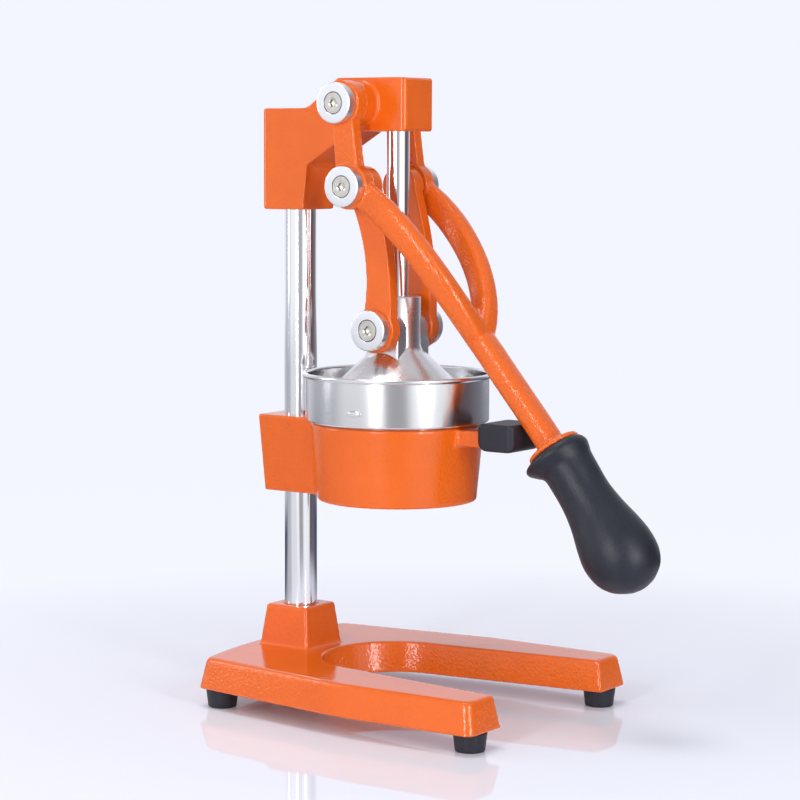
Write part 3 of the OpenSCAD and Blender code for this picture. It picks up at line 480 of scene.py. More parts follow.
FOOT_RUBBER = Moulded("black_foot_rubber", (0.012, 0.012, 0.019), 0.5)
GRIP_SKIN = Moulded("grained_black_grip", (0.0085, 0.01, 0.018), 0.4, grain=0.7, grain_depth=0.14)


# Outlines and meshes


def turns(count: int) -> list[float]:
    """Returns that many angles, spread evenly round a circle."""
    return [2 * math.pi * i / count for i in range(count)]


def arc(centre: Pair, radius: float, start: float, end: float, steps: int = 8) -> list[Pair]:
    """Returns points along an arc, its angles in degrees."""
    angles = [math.radians(start + (end - start) * i / steps) for i in range(steps + 1)]
    return [(centre[0] + radius * math.cos(a), centre[1] + radius * math.sin(a)) for a in angles]


def rounded(points: Sequence[Pair], radii: Sequence[float], steps: int = 6) -> list[Pair]:
    """Rounds the corners of a closed outline.

    Args:
        points: The corners.
        radii: One radius for each corner, or 0.
        steps: Chords for each corner.

    Returns:
        The rounded outline.
    """
    out: list[Pair] = []
    for i, (point, radius) in enumerate(zip(points, radii)):
        p = Vector(point)
        u = (Vector(points[i - 1]) - p).normalized()
        v = (Vector(points[(i + 1) % len(points)]) - p).normalized()
        if radius == 0:
            out.append(point)
            continue
        half = math.acos(max(-1.0, min(1.0, u.dot(v)))) / 2
        c = p + (u + v).normalized() * radius / math.sin(half)
        a0 = math.atan2(*reversed(p + u * radius / math.tan(half) - c))
        a1 = math.atan2(*reversed(p + v * radius / math.tan(half) - c))
        sweep = (a1 - a0 + math.pi) % (2 * math.pi) - math.pi
        out += arc(tuple(c), radius, math.degrees(a0), math.degrees(a0 + sweep), steps)
    return out


def mix(a: float, b: float, t: float) -> float:
    """Returns the value a share t of the way from a to b."""
    return a + (b - a) * t


def both_sides(right: Sequence[Pair]) -> list[Pair]:
    """Returns an outline closed by its own mirror image on the left."""
    return [*right, *((-x, y) for x, y in reversed(right))]


def linked(name: str, data: bpy.types.ID | None) -> bpy.types.Object:
    """Returns a new object that holds the data, in the scene."""
    made = bpy.data.objects.new(name, data)
    bpy.context.scene.collection.objects.link(made)
    return made


def discard(made: bpy.types.Object) -> None:
    """Removes an object and its mesh."""
    spare = made.data
    bpy.data.objects.remove(made)
    bpy.data.meshes.remove(spare)


class Shape:
    """A mesh in the making, in millimetres about the press axis."""

    def __init__(self) -> None:
        """Starts an empty mesh."""
        self.mesh = bmesh.new()

    def add(
        self, points: Iterable[Sequence[float]], faces: Iterable[Sequence[int]], turn: Matrix | None = None
    ) -> "Shape":
        """Adds points and faces.

        Args:
            points: The points.
            faces: Their numbers, for each face.
            turn: Where the points go.

        Returns:
            The shape itself.
        """
        turn = turn or Matrix.Identity(4)
        made = [self.mesh.verts.new(turn @ Vector(p)) for p in points]
        for face in faces:
            self.mesh.faces.new([made[i] for i in face])
        return self

    def loft(
        self, rings: Sequence[Sequence[Sequence[float]]], turn: Matrix | None = None, loop: bool = False
    ) -> "Shape":
        """Joins rings of equal length into a closed skin.

        Args:
            rings: The rings in order.
            turn: Where they go.
            loop: True if the last ring joins the first, and False if both ends are closed.

        Returns:
            The shape itself.
        """
        n, m = len(rings[0]), len(rings)
        faces = [
            (k * n + i, k * n + (i + 1) % n, (k + 1) % m * n + (i + 1) % n, (k + 1) % m * n + i)
            for k in range(m if loop else m - 1)
            for i in range(n)
        ]
        if not loop:
            faces += [tuple(range(n - 1, -1, -1)), tuple(range((m - 1) * n, m * n))]
        return self.add([p for ring in rings for p in ring], faces, turn)

    def lathe(self, profile: Sequence[Pair], turn: Matrix | None = None, sides: int = ROUND) -> "Shape":
        """Turns a closed profile about Z.

        Args:
            profile: Radius and height of each point. Where the first and last lie on the axis, they close it.
            turn: Where the turned piece goes.
            sides: Its sides.

        Returns:
            The shape itself.
        """
        solid = profile[0][0] == 0 and profile[-1][0] == 0
        ring = profile[1:-1] if solid else profile
        rings = [[(r * math.cos(a), r * math.sin(a), z) for a in turns(sides)] for r, z in ring]
        if not solid:
            return self.loft(rings, turn, True)
        n, m = sides, len(rings)
        points = [p for r in rings for p in r] + [(0, 0, profile[0][1]), (0, 0, profile[-1][1])]
        faces: list[tuple[int, ...]] = []
        for k in range(m - 1):
            faces += [
                (k * n + i, k * n + (i + 1) % n, (k + 1) * n + (i + 1) % n, (k + 1) * n + i)
                for i in range(n)
            ]
        faces += [(i, n * m, (i + 1) % n) for i in range(n)]
        faces += [((m - 1) * n + i, (m - 1) * n + (i + 1) % n, n * m + 1) for i in range(n)]
        return self.add(points, faces, turn)

    def disc(self, radius: float, thick: float, turn: Matrix) -> "Shape":
        """Adds a disc that stands on its own zero."""
        return self.lathe([(0, 0), (radius, 0), (radius, thick), (0, thick)], turn)

    def prism(self, outline: Sequence[Pair], low: float, high: float, turn: Matrix | None = None) -> "Shape":
        """Adds a prism along Z, from low to high."""
        return self.loft([[(*p, z) for p in outline] for z in (low, high)], turn)

    def copy_cad(self, node: str) -> "Shape":
        """Adds a merged copy of a CAD node's mesh."""
        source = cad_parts[node].data
        made = bmesh.new()
        made.from_mesh(source)
        bmesh.ops.remove_doubles(made, verts=made.verts, dist=2e-6)
        made.transform(Matrix.Scale(1 / MM, 4) @ Matrix.Translation((0, -AXIS_Y, 0)))
        scratch = bpy.data.meshes.new("scratch")
        made.to_mesh(scratch)
        made.free()
        self.mesh.from_mesh(scratch)
        bpy.data.meshes.remove(scratch)
        return self

    def object(self, name: str) -> bpy.types.Object:
        """Makes the mesh an object in the frame's place, with its faces outwards.

        Args:
            name: The object's name.

        Returns:
            The object.
        """
        self.mesh.transform(Matrix.Translation((0, AXIS_Y, 0)) @ Matrix.Scale(MM, 4))
        bmesh.ops.recalc_face_normals(self.mesh, faces=self.mesh.faces)
        data = bpy.data.meshes.new(name)
        self.mesh.to_mesh(data)
        self.mesh.free()
        return linked(name, data)


def along_x(x: float, y: float, z: float, left: bool = False) -> Matrix:
    """Returns the placing that lays +Z along +X, or -X on the left, from a point."""
    side = -1 if left else 1
    return Matrix.Translation((side * x, y, z)) @ Matrix.Rotation(side * math.pi / 2, 4, "Y")


def plate_across(side: int = 1) -> Matrix:
    """Returns the placing that stands a (Y, Z) outline up, its thickness along X on the given side."""
    return Matrix(((0, 0, side, 0), (1, 0, 0, 0), (0, 1, 0, 0), (0, 0, 0, 1)))


def applied(made: bpy.types.Object) -> bpy.types.Object:
    """Turns an object's modifiers into its mesh and removes them."""
    bpy.context.view_layer.update()
    result = bpy.data.meshes.new_from_object(made.evaluated_get(bpy.context.evaluated_depsgraph_get()))
    old = made.data
    made.modifiers.clear()
    made.data = result
    bpy.data.meshes.remove(old)
    result.name = made.name
    return made


def combined(body: bpy.types.Object, other: bpy.types.Object, operation: str) -> None:
    """Joins another solid to a body, or cuts it from the body, and removes it.

    Args:
        body: The solid that stays.
        other: The solid that is used up.
        operation: The Boolean modifier's operation.
    """
    change = body.modifiers.new(other.name, "BOOLEAN")
    change.operation = operation
    change.solver = "EXACT"
    change.object = other
    applied(body)
    discard(other)


def cast(made: bpy.types.Object, voxel: float, passes: int, skin: Pair | None = None) -> bpy.types.Object:
    """Melts overlapping shells into one casting with soft edges.

    Args:
        made: The object that holds the shells.
        voxel: The grid, in millimetres.
        passes: Smoothing passes.
        skin: A pebble's size and the depth between pebbles, in millimetres, or None for a smooth skin.

    Returns:
        The same object.
    """
    melt = made.modifiers.new("melt", "REMESH")
    melt.mode = "VOXEL"
    melt.voxel_size = voxel * MM
    soft = made.modifiers.new("soft", "SMOOTH")
    soft.factor = 0.5
    soft.iterations = passes
    applied(made)
    if skin is not None:
        pebble, sink = skin
        values = {"Pebble": pebble * MM, "Sink": sink * MM, "Finish": ROUGH_PAINT.material()}
        skin_tree().run(made, values)
    return made


def deliver(
    made: bpy.types.Object,
    finish: Finish,
    body: Body,
    nodes: Sequence[str],
    crease: float = 35.0,
) -> bpy.types.Object:
    """Shades a finished piece, gives it its finish and hands it to the frame.

    Args:
        made: The piece.
        finish: Its finish.
        body: The body that it rides on.
        nodes: The CAD nodes that it stands for.
        crease: Edges sharper than this many degrees stay crisp.

    Returns:
        The piece.
    """
    data = made.data
    data.polygons.foreach_set("use_smooth", [True] * len(data.polygons))
    data.set_sharp_from_angle(angle=math.radians(crease))
    data.materials.clear()
    data.materials.append(finish.material())
    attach(made, body.value)
    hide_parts(*nodes)
    LOG.info("%s: %d points, %d faces", made.name, len(data.vertices), len(data.polygons))
    return made


# Geometry Nodes trees


class Socket(Enum):
    """Types of a tree's inputs."""

    MESH = "NodeSocketGeometry"
    OBJECT = "NodeSocketObject"
    MATERIAL = "NodeSocketMaterial"
    NUMBER = "NodeSocketFloat"
    COUNT = "NodeSocketInt"


class MeshTree(Tree):
    """A Geometry Nodes tree with named inputs."""

    def __init__(self, name: str, inputs: dict[str, Socket]) -> None:
        """Makes the tree.

        Args:
            name: The tree's name.
            inputs: Its inputs' names and types. The mesh comes first.
        """
        super().__init__(bpy.data.node_groups.new(name, "GeometryNodeTree"))
        for label, kind in inputs.items():
            self.tree.interface.new_socket(label, in_out="INPUT", socket_type=kind.value)
        self.tree.interface.new_socket("Result", in_out="OUTPUT", socket_type=Socket.MESH.value)
        group = self.node("NodeGroupInput", {}, {})
        self.given = {label: Value(self, group.socket.node.outputs[label]) for label in inputs}

    def close(self, mesh: Value) -> None:
        """Ends the tree: instances made real, the finish set.

        Args:
            mesh: What the tree has made.
        """
        real = self.node("GeometryNodeRealizeInstances", {}, {"Geometry": mesh})
        inputs = {"Geometry": real, "Material": self.given["Finish"]}
        self.node("NodeGroupOutput", {}, [self.node("GeometryNodeSetMaterial", {}, inputs)])

    def run(self, made: bpy.types.Object, values: dict[str, object]) -> bpy.types.Object:
        """Runs the tree on an object and keeps the result as its plain mesh.

        Args:
            made: The object.
            values: The inputs by name.

        Returns:
            The same object.
        """
        modifier = made.modifiers.new(self.tree.name, "NODES")
        modifier.node_group = self.tree
        for item in self.tree.interface.items_tree:
            if item.in_out == "INPUT" and item.name in values:
                modifier[item.identifier] = values[item.name]
        return applied(made)


def fastener_tree() -> MeshTree:
    """Returns a tree that sets a fastener on every point, faced by an attribute and spun by chance."""
    tree = MeshTree(
        "fasteners",
        {"Points": Socket.MESH, "Fastener": Socket.OBJECT, "Spin": Socket.COUNT, "Finish": Socket.MATERIAL},
    )
    part = tree.node("GeometryNodeObjectInfo", {}, {"Object": tree.given["Fastener"]}, "Geometry")
    facing = tree.node(
        "GeometryNodeInputNamedAttribute", {"data_type": "FLOAT_VECTOR"}, {"Name": "facing"}, "Attribute"
    )
    turn = tree.node("FunctionNodeEulerToRotation", {}, [facing])
    limits = {2: 0.0, 3: 2 * math.pi, "Seed": tree.given["Spin"]}
    spin = tree.node("FunctionNodeRandomValue", {"data_type": "FLOAT"}, limits, 1)
    about = tree.node("ShaderNodeCombineXYZ", {}, {"Z": spin})
    rotation = tree.node(
        "FunctionNodeRotateRotation",
        {"rotation_space": "LOCAL"},
        {"Rotation": turn, "Rotate By": tree.node("FunctionNodeEulerToRotation", {}, [about])},
    )
    inputs = {"Points": tree.given["Points"], "Instance": part, "Rotation": rotation}
    tree.close(tree.node("GeometryNodeInstanceOnPoints", {}, inputs))
    return tree


def reamer_tree() -> MeshTree:
    """Returns a tree that bends a grid into a ridged cone with a closed foot and point."""
    tree = MeshTree(
        "reamer",
        {
            "Mesh": Socket.MESH,
            "Foot": Socket.NUMBER,
            "Height": Socket.NUMBER,
            "Level": Socket.NUMBER,
            "Ridges": Socket.COUNT,
            "Finish": Socket.MATERIAL,
        },
    )
    given = tree.given
    foot_share = 0.12
    grid = tree.node(
        "GeometryNodeMeshGrid", {}, {"Size X": 1.0, "Size Y": 1.0, "Vertices X": 241, "Vertices Y": 90}
    )
    x, y, _ = tree.axes(tree.node("GeometryNodeInputPosition", {}, {}))
    angle = (x + 0.5) * (2 * math.pi)
    t = y + 0.5
    inward = (t / foot_share).math("MINIMUM", 1.0)
    up = ((t - foot_share) / (1 - foot_share)).math("MAXIMUM", 0.0)
    taper = 1.0 - (up ** 1.7) * 0.9
    point = (1.0 - up ** 20.0).math("MAXIMUM", 0.0) ** 0.5
    wave = (angle * (given["Ridges"] * 0.5)).math("COSINE").math("ABSOLUTE")
    ridge = 1.0 - (up * 3.0).math("MINIMUM", 1.0) * (1.0 - wave) * 0.2
    radius = given["Foot"] * inward * taper * point * ridge
    where = tree.polar(radius, angle, given["Height"] * up + given["Level"])
    bent = tree.node("GeometryNodeSetPosition", {}, {"Geometry": grid, "Position": where})
    tree.close(tree.node("GeometryNodeMergeByDistance", {}, {"Geometry": bent, "Distance": 0.01 * MM}))
    return tree


def strainer_tree() -> MeshTree:
    """Returns a tree that punches rows of holes through a sheet."""
    tree = MeshTree(
        "perforations",
        {
            "Sheet": Socket.MESH,
            "Holes": Socket.COUNT,
            "Rows": Socket.COUNT,
            "First": Socket.NUMBER,
            "Step": Socket.NUMBER,
            "Level": Socket.NUMBER,
            "Hole": Socket.NUMBER,
            "Finish": Socket.MATERIAL,
        },
    )
    given = tree.given
    count = given["Holes"] * given["Rows"]
    line = tree.node("GeometryNodeMeshLine", {}, {"Count": count})
    number = tree.node("GeometryNodeInputIndex", {}, {})
    row = (number / given["Holes"]).math("FLOOR")
    angle = ((number - row * given["Holes"]) + row * 0.5) * (2 * math.pi) / given["Holes"]
    radius = given["First"] + given["Step"] * row
    where = tree.polar(radius, angle, given["Level"])
    points = tree.node("GeometryNodeSetPosition", {}, {"Geometry": line, "Position": where})
    punch = tree.node(
        "GeometryNodeMeshCylinder", {}, {"Vertices": 16, "Radius": given["Hole"], "Depth": 6 * MM}
    )
    punches = tree.node("GeometryNodeInstanceOnPoints", {}, {"Points": points, "Instance": punch})
    real = tree.node("GeometryNodeRealizeInstances", {}, {"Geometry": punches})
    cut = {"operation": "DIFFERENCE", "solver": "EXACT"}
    tree.close(tree.node("GeometryNodeMeshBoolean", cut, {0: given["Sheet"], 1: real}))
    return tree


@cache
def skin_tree() -> MeshTree:
    """Returns the tree that sinks a casting's skin between its pebbles, and leaves flat tops smooth."""
    tree = MeshTree(
        "casting_skin",
        {"Mesh": Socket.MESH, "Pebble": Socket.NUMBER, "Sink": Socket.NUMBER, "Finish": Socket.MATERIAL},
    )
    given = tree.given
    at = tree.node("GeometryNodeInputPosition", {}, {})
    out = tree.node("GeometryNodeInputNormal", {}, {})
    inputs = {"Vector": at, "Scale": given["Pebble"] ** -1.0, "Detail": 1.0, "Roughness": 0.4}
    lumps = tree.node("ShaderNodeTexNoise", {}, inputs)
    calm = 1.0 - (tree.axes(out)[2].math("MAXIMUM", 0.0) ** 4.0) * 0.85
    depth = (lumps - 0.72) * given["Sink"] * calm
    sunk = tree.node("ShaderNodeVectorMath", {"operation": "SCALE"}, {0: out, "Scale": depth})
    tree.close(tree.node("GeometryNodeSetPosition", {}, {"Geometry": given["Mesh"], "Offset": sunk}))
    return tree


def set_fasteners(
    name: str, tree: MeshTree, part: Shape, spots: Sequence[tuple[Matrix, int]], finish: Finish
) -> bpy.types.Object:
    """Sets copies of one fastener on its spots.

    Args:
        name: The piece's name.
        tree: The fasteners' tree.
        part: One fastener, along +Z from its own zero.
        spots: Where each goes, and a number that picks its spin.
        finish: The fastener's finish.

    Returns:
        One object with every copy.
    """
    data = bpy.data.meshes.new(name)
    places = [turn for turn, _ in spots]
    data.from_pydata([m.translation * MM + Vector((0, AXIS_Y, 0)) for m in places], [], [])
    facing = data.attributes.new("facing", "FLOAT_VECTOR", "POINT")
    facing.data.foreach_set("vector", [c for m in places for c in m.to_euler()])
    made = linked(name, data)
    one = part.object(name + "_one")
    one.data.transform(Matrix.Translation((0, -AXIS_Y, 0)))
    tree.run(made, {"Fastener": one, "Spin": spots[0][1], "Finish": finish.material()})
    discard(one)
    return made


# Sizes that several pieces share


@dataclass(frozen=True)
class Pivots:
    """The pivots' places and the faces across them, with the lever down."""

    top: Pair = (18.8, 401.7)
    middle: Pair = (12.3707, 347.782)
    lower: Pair = (0.0, 254.196)
    eye_in: float = 29.8
    eye_out: float = 40.0
    link_in: float = 18.6
    link_out: float = 27.4
    link_boss: float = 29.6
    ear_side: float = 18.4


PIVOTS = Pivots()


@dataclass(frozen=True)
class Stand:
    """The fixed castings, the column, the feet and the rubber stop.

    A pair gives a size at the foot and at the top of the ring. `root` and `lug_root` say how far the
    bracket and the lug reach into the ring, and `lug_share` how far up the ring the lug's fillet is fitted.
    """

    ring_z: Pair = (140.0, 192.0)
    ring_r: Pair = (53.1, 57.8)
    ring_wall: float = 4.5
    ring_edge: float = 1.0
    bracket_half: Pair = (15.8, 18.5)
    bracket_rear: Pair = (100.5, 104.2)
    corner: float = 4.0
    fillet: float = 16.0
    root: float = 9.0
    lug_half: float = 13.0
    lug_fillet: float = 4.0
    lug_root: float = 6.0
    lug_z: Pair = (180.5, 191.0)
    lug_tip: float = 92.96
    lug_share: float = 0.85
    foot_h: float = 12.5
    foot_r: Pair = (9.6, 10.9)
    foot_recess_r: float = 5.0
    foot_recess_h: float = 7.0
    foot_bore_r: float = 2.6
    column_r: float = 11.0
    column_z: Pair = (23.9, 391.1)
    column_edge: float = 1.0

    def base(self) -> None:
        """Makes the base casting."""
        made = cast(Shape().copy_cad("base").object("base_casting"), voxel=1.1, passes=2, skin=(2.6, 0.13))
        deliver(made, ROUGH_PAINT, Body.STAND, ["base"], 60)

    def head(self) -> None:
        """Makes the head casting."""
        made = cast(Shape().copy_cad("head").object("head_casting"), voxel=0.75, passes=3)
        deliver(made, SMOOTH_PAINT, Body.STAND, ["head"], 60)

    def flare(self, wall: float, half: float, fillet: float, steps: int) -> list[Pair]:
        """Returns the fillet between the ring's wall and a block that stands on it.

        Args:
            wall: The ring's radius there.
            half: Half the block's width.
            fillet: The fillet's radius.
            steps: Its chords.

        Returns:
            Its points, from the wall to the block's side.
        """
        c = (half + fillet, math.sqrt((wall + fillet) ** 2 - (half + fillet) ** 2))
        return arc(c, fillet, math.degrees(math.atan2(-c[1], -c[0])) + 360, 180, steps)

    def bracket_ring(self, share: float, z: float) -> list[tuple[float, float, float]]:
        """Returns the bracket's outline at one height, with a fillet where it meets the ring.

        Args:
            share: How far up the ring it lies, from 0 to 1.
            z: The height.

        Returns:
            The outline's points.
        """
        wall = mix(*self.ring_r, share)
        half = mix(*self.bracket_half, share)
        rear = mix(*self.bracket_rear, share)
        end = arc((half - self.corner, rear - self.corner), self.corner, 0, 90, 6)
        right = [(half, wall - self.root), *self.flare(wall - 0.05, half, self.fillet, 10), *end]
        return [(x, y, z) for x, y in both_sides(right)]

    def holder(self) -> None:
        """Makes the ring with its bracket and its lug."""
        (low, high), (low_r, high_r) = self.ring_z, self.ring_r
        edge, t = self.ring_edge, self.ring_wall
        ring = [(low_r - t, low), (low_r - edge, low), (low_r, low + edge)]
        ring += [(high_r, high - edge), (high_r - edge, high), (high_r - t, high)]
        made = Shape().lathe(ring, None, FINE)
        made.loft([self.bracket_ring(s, mix(low, high, s)) for s in (0.0, 0.25, 0.5, 0.75, 1.0)])
        wall, half = mix(*self.ring_r, self.lug_share), self.lug_half
        flare = self.flare(wall - 0.2, half, self.lug_fillet, 8)
        right = [(half, wall - self.lug_root), *flare, (half, self.lug_tip)]
        made.prism(both_sides(right), *self.lug_z, Matrix.Rotation(math.pi, 4, "Z"))
        done = cast(made.object("bowl_holder_casting"), voxel=0.85, passes=4, skin=(2.4, 0.12))
        deliver(done, RING_PAINT, Body.STAND, ["bowl_holder"], 60)

    def stop(self) -> None:
        """Makes the rubber stop on the lug."""
        made = cast(Shape().copy_cad("stop_bumper").object("rubber_stop"), voxel=0.7, passes=20)
        deliver(made, FOOT_RUBBER, Body.STAND, ["stop_bumper"], 60)

    def column(self) -> None:
        """Makes the chromed column."""
        (low, high), r, e = self.column_z, self.column_r, self.column_edge
        profile = [(0, low), (r - e, low), (r, low + e), (r, high - e), (r - e, high), (0, high)]
        made = Shape().lathe(profile, Matrix.Translation((0, COLUMN_BACK, 0)), 128)
        deliver(made.object("column_bar"), CHROME, Body.STAND, ["column"])

    def feet(self, tree: MeshTree) -> None:
        """Makes the four rubber feet with the recesses of their screws.

        Args:
            tree: The fasteners' tree.
        """
        (low, high), h, e = self.foot_r, self.foot_h, 1.2
        bore, recess, deep = self.foot_bore_r, self.foot_recess_r, self.foot_recess_h
        profile = [(bore, deep), (recess, deep), (recess, 0.0), (low - e, 0.0)]
        profile += arc((low - e, e), e, -80, 0, 4)
        profile += [(high - 0.1, h - 1.4), (high, h - 0.8), (high - 0.5, h), (bore, h)]
        names = [f"foot_{end}_{side}" for end in ("front", "rear") for side in ("left", "right")]
        spots = []
        for name in names:
            lo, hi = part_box(name)
            middle = ((lo + hi) / 2 - Vector((0, AXIS_Y, 0))) / MM
            spots.append((Matrix.Translation((middle.x, middle.y, 0)), 3))
        made = set_fasteners("rubber_feet", tree, Shape().lathe(profile), spots, FOOT_RUBBER)
        deliver(made, FOOT_RUBBER, Body.STAND, names)


@dataclass(frozen=True)
class Bowl:
    """The juice bowl, its funnel and spout, the strainer and the reamer.

    `seat_r` bounds the low ring that the drum stands on and `seat_drop` is its height. `pip` is half a
    pip's depth, length and height. `dish_r` is the strainer's dish at its top and floor, and `rows_r` the
    first row of holes and the step to the next.
    """

    wall_r: float = 61.1
    top: float = 225.2
    step_z: float = 192.0
    sheet: float = 1.0
    rim_r: float = 1.7
    seat_r: Pair = (56.0, 57.8)
    seat_drop: float = 0.9
    pip: tuple[float, float, float] = (2.1, 5.0, 2.2)
    pip_turns: Pair = (187.6, 7.6)
    pip_up: float = 10.3
    neck_r: float = 51.03
    weld_z: float = 178.0
    funnel_z: float = 152.0
    spout_r: float = 13.0
    spout_z: float = 143.0
    flange_r: float = 57.1
    dish_r: Pair = (48.83, 43.83)
    dish_h: float = 16.0
    hole_r: float = 1.3
    holes: tuple[int, int] = (36, 2)
    rows_r: Pair = (36.28, 3.28)
    reamer_r: float = 33.0
    reamer_h: float = 49.0
    reamer_down: float = 14.0
    reamer_ridges: int = 10

    def drum(self) -> None:
        """Makes the drum with its rolled rim, its step and its two pips."""
        r, t, s, q = self.wall_r, self.sheet, self.step_z, self.rim_r
        rc, rz = r - t / 2 + q * 0.6, self.top - q
        inner = math.degrees(math.acos((r - t - rc) / q))
        outer = math.degrees(math.acos((r - rc) / q))
        rim = arc((rc, rz), q, 360 - inner, -outer, 22)
        (under, over), n, w = self.seat_r, self.neck_r, self.weld_z
        u = s + self.seat_drop
        outer_skin = [(r, rz - 4), (r, u), (under, u), (under - 0.2, s), (n, s), (n, w)]
        inner_skin = [(n - t, w), (n - t, s + t), (over - 0.4, s + t)]
        inner_skin += [(over, u + t), (r - t, u + t), (r - t, rz - 4)]
        body = rounded([*outer_skin, *inner_skin], [0, 1.4, 0.3, 0.2, 0.6, 0, 0, 1.6, 0.2, 0.3, 0.6, 0])
        made = Shape().lathe([*rim, *body], None, FINE)
        deep, long, high = self.pip
        rings = []
        for a in (math.pi * k / 12 for k in range(13)):
            y, size = -long * math.cos(a), max(0.02, math.sin(a) ** 0.6)
            rings.append([(deep * size * math.cos(g), y, high * size * math.sin(g)) for g in turns(16)])
        for spot in self.pip_turns:
            turn = Matrix.Rotation(math.radians(spot), 4, "Z")
            made.loft(rings, turn @ Matrix.Translation((r - 0.75, 0, s + self.pip_up)))
        deliver(made.object("bowl_drum"), SPUN, Body.STAND, ["juice_bowl"])

    def funnel(self) -> None:
        """Makes the funnel and the spout."""
        t, n, w, f = self.sheet, self.neck_r, self.weld_z, self.funnel_z
        c = self.spout_r + 0.03
        corners = [(n, w), (n, w - 2 - t), (c + t, f - t), (c + t, f - 5)]
        corners += [(c, f - 5), (c, f), (n - t, w - 2), (n - t, w)]
        cone = rounded(corners, [0, 2, 1, 0, 0, 0, 1, 0])
        deliver(Shape().lathe(cone).object("bowl_funnel_sheet"), SPUN, Body.STAND, ["bowl_funnel"])
        r = self.spout_r
        tube = [(r - t, self.spout_z), (r, self.spout_z), (r, f), (r - t, f)]
        deliver(Shape().lathe(tube).object("spout_tube"), SPUN, Body.STAND, ["spout"])

    def strainer(self, tree: MeshTree) -> None:
        """Makes the strainer with its punched floor.

        Args:
            tree: The perforations' tree.
        """
        t, flange, (top_r, low_r) = self.sheet, self.flange_r, self.dish_r
        high = self.step_z + t
        floor = high - self.dish_h
        profile = [(0, floor), (low_r, floor), (top_r, high), (flange, high)]
        profile += [(flange, high + t), (top_r - t, high + t), (low_r - t, floor + t), (0, floor + t)]
        made = Shape().lathe(profile).object("strainer_sheet")
        (holes, rows), (first, step) = self.holes, self.rows_r
        values = {"Holes": holes, "Rows": rows, "Finish": SPUN.material()}
        lengths = {"First": first, "Step": step, "Level": floor, "Hole": self.hole_r}
        tree.run(made, values | {name: length * MM for name, length in lengths.items()})
        deliver(made, SPUN, Body.STAND, ["strainer"])

    def reamer(self, tree: MeshTree) -> None:
        """Makes the ridged reamer.

        Args:
            tree: The reamer's tree.
        """
        made = Shape().object("reamer_cone")
        values = {"Ridges": self.reamer_ridges, "Finish": DOME_METAL.material()}
        lengths = {"Foot": self.reamer_r, "Height": self.reamer_h, "Level": self.step_z - self.reamer_down}
        tree.run(made, values | {name: length * MM for name, length in lengths.items()})
        deliver(made, DOME_METAL, Body.STAND, ["reamer"], 50)


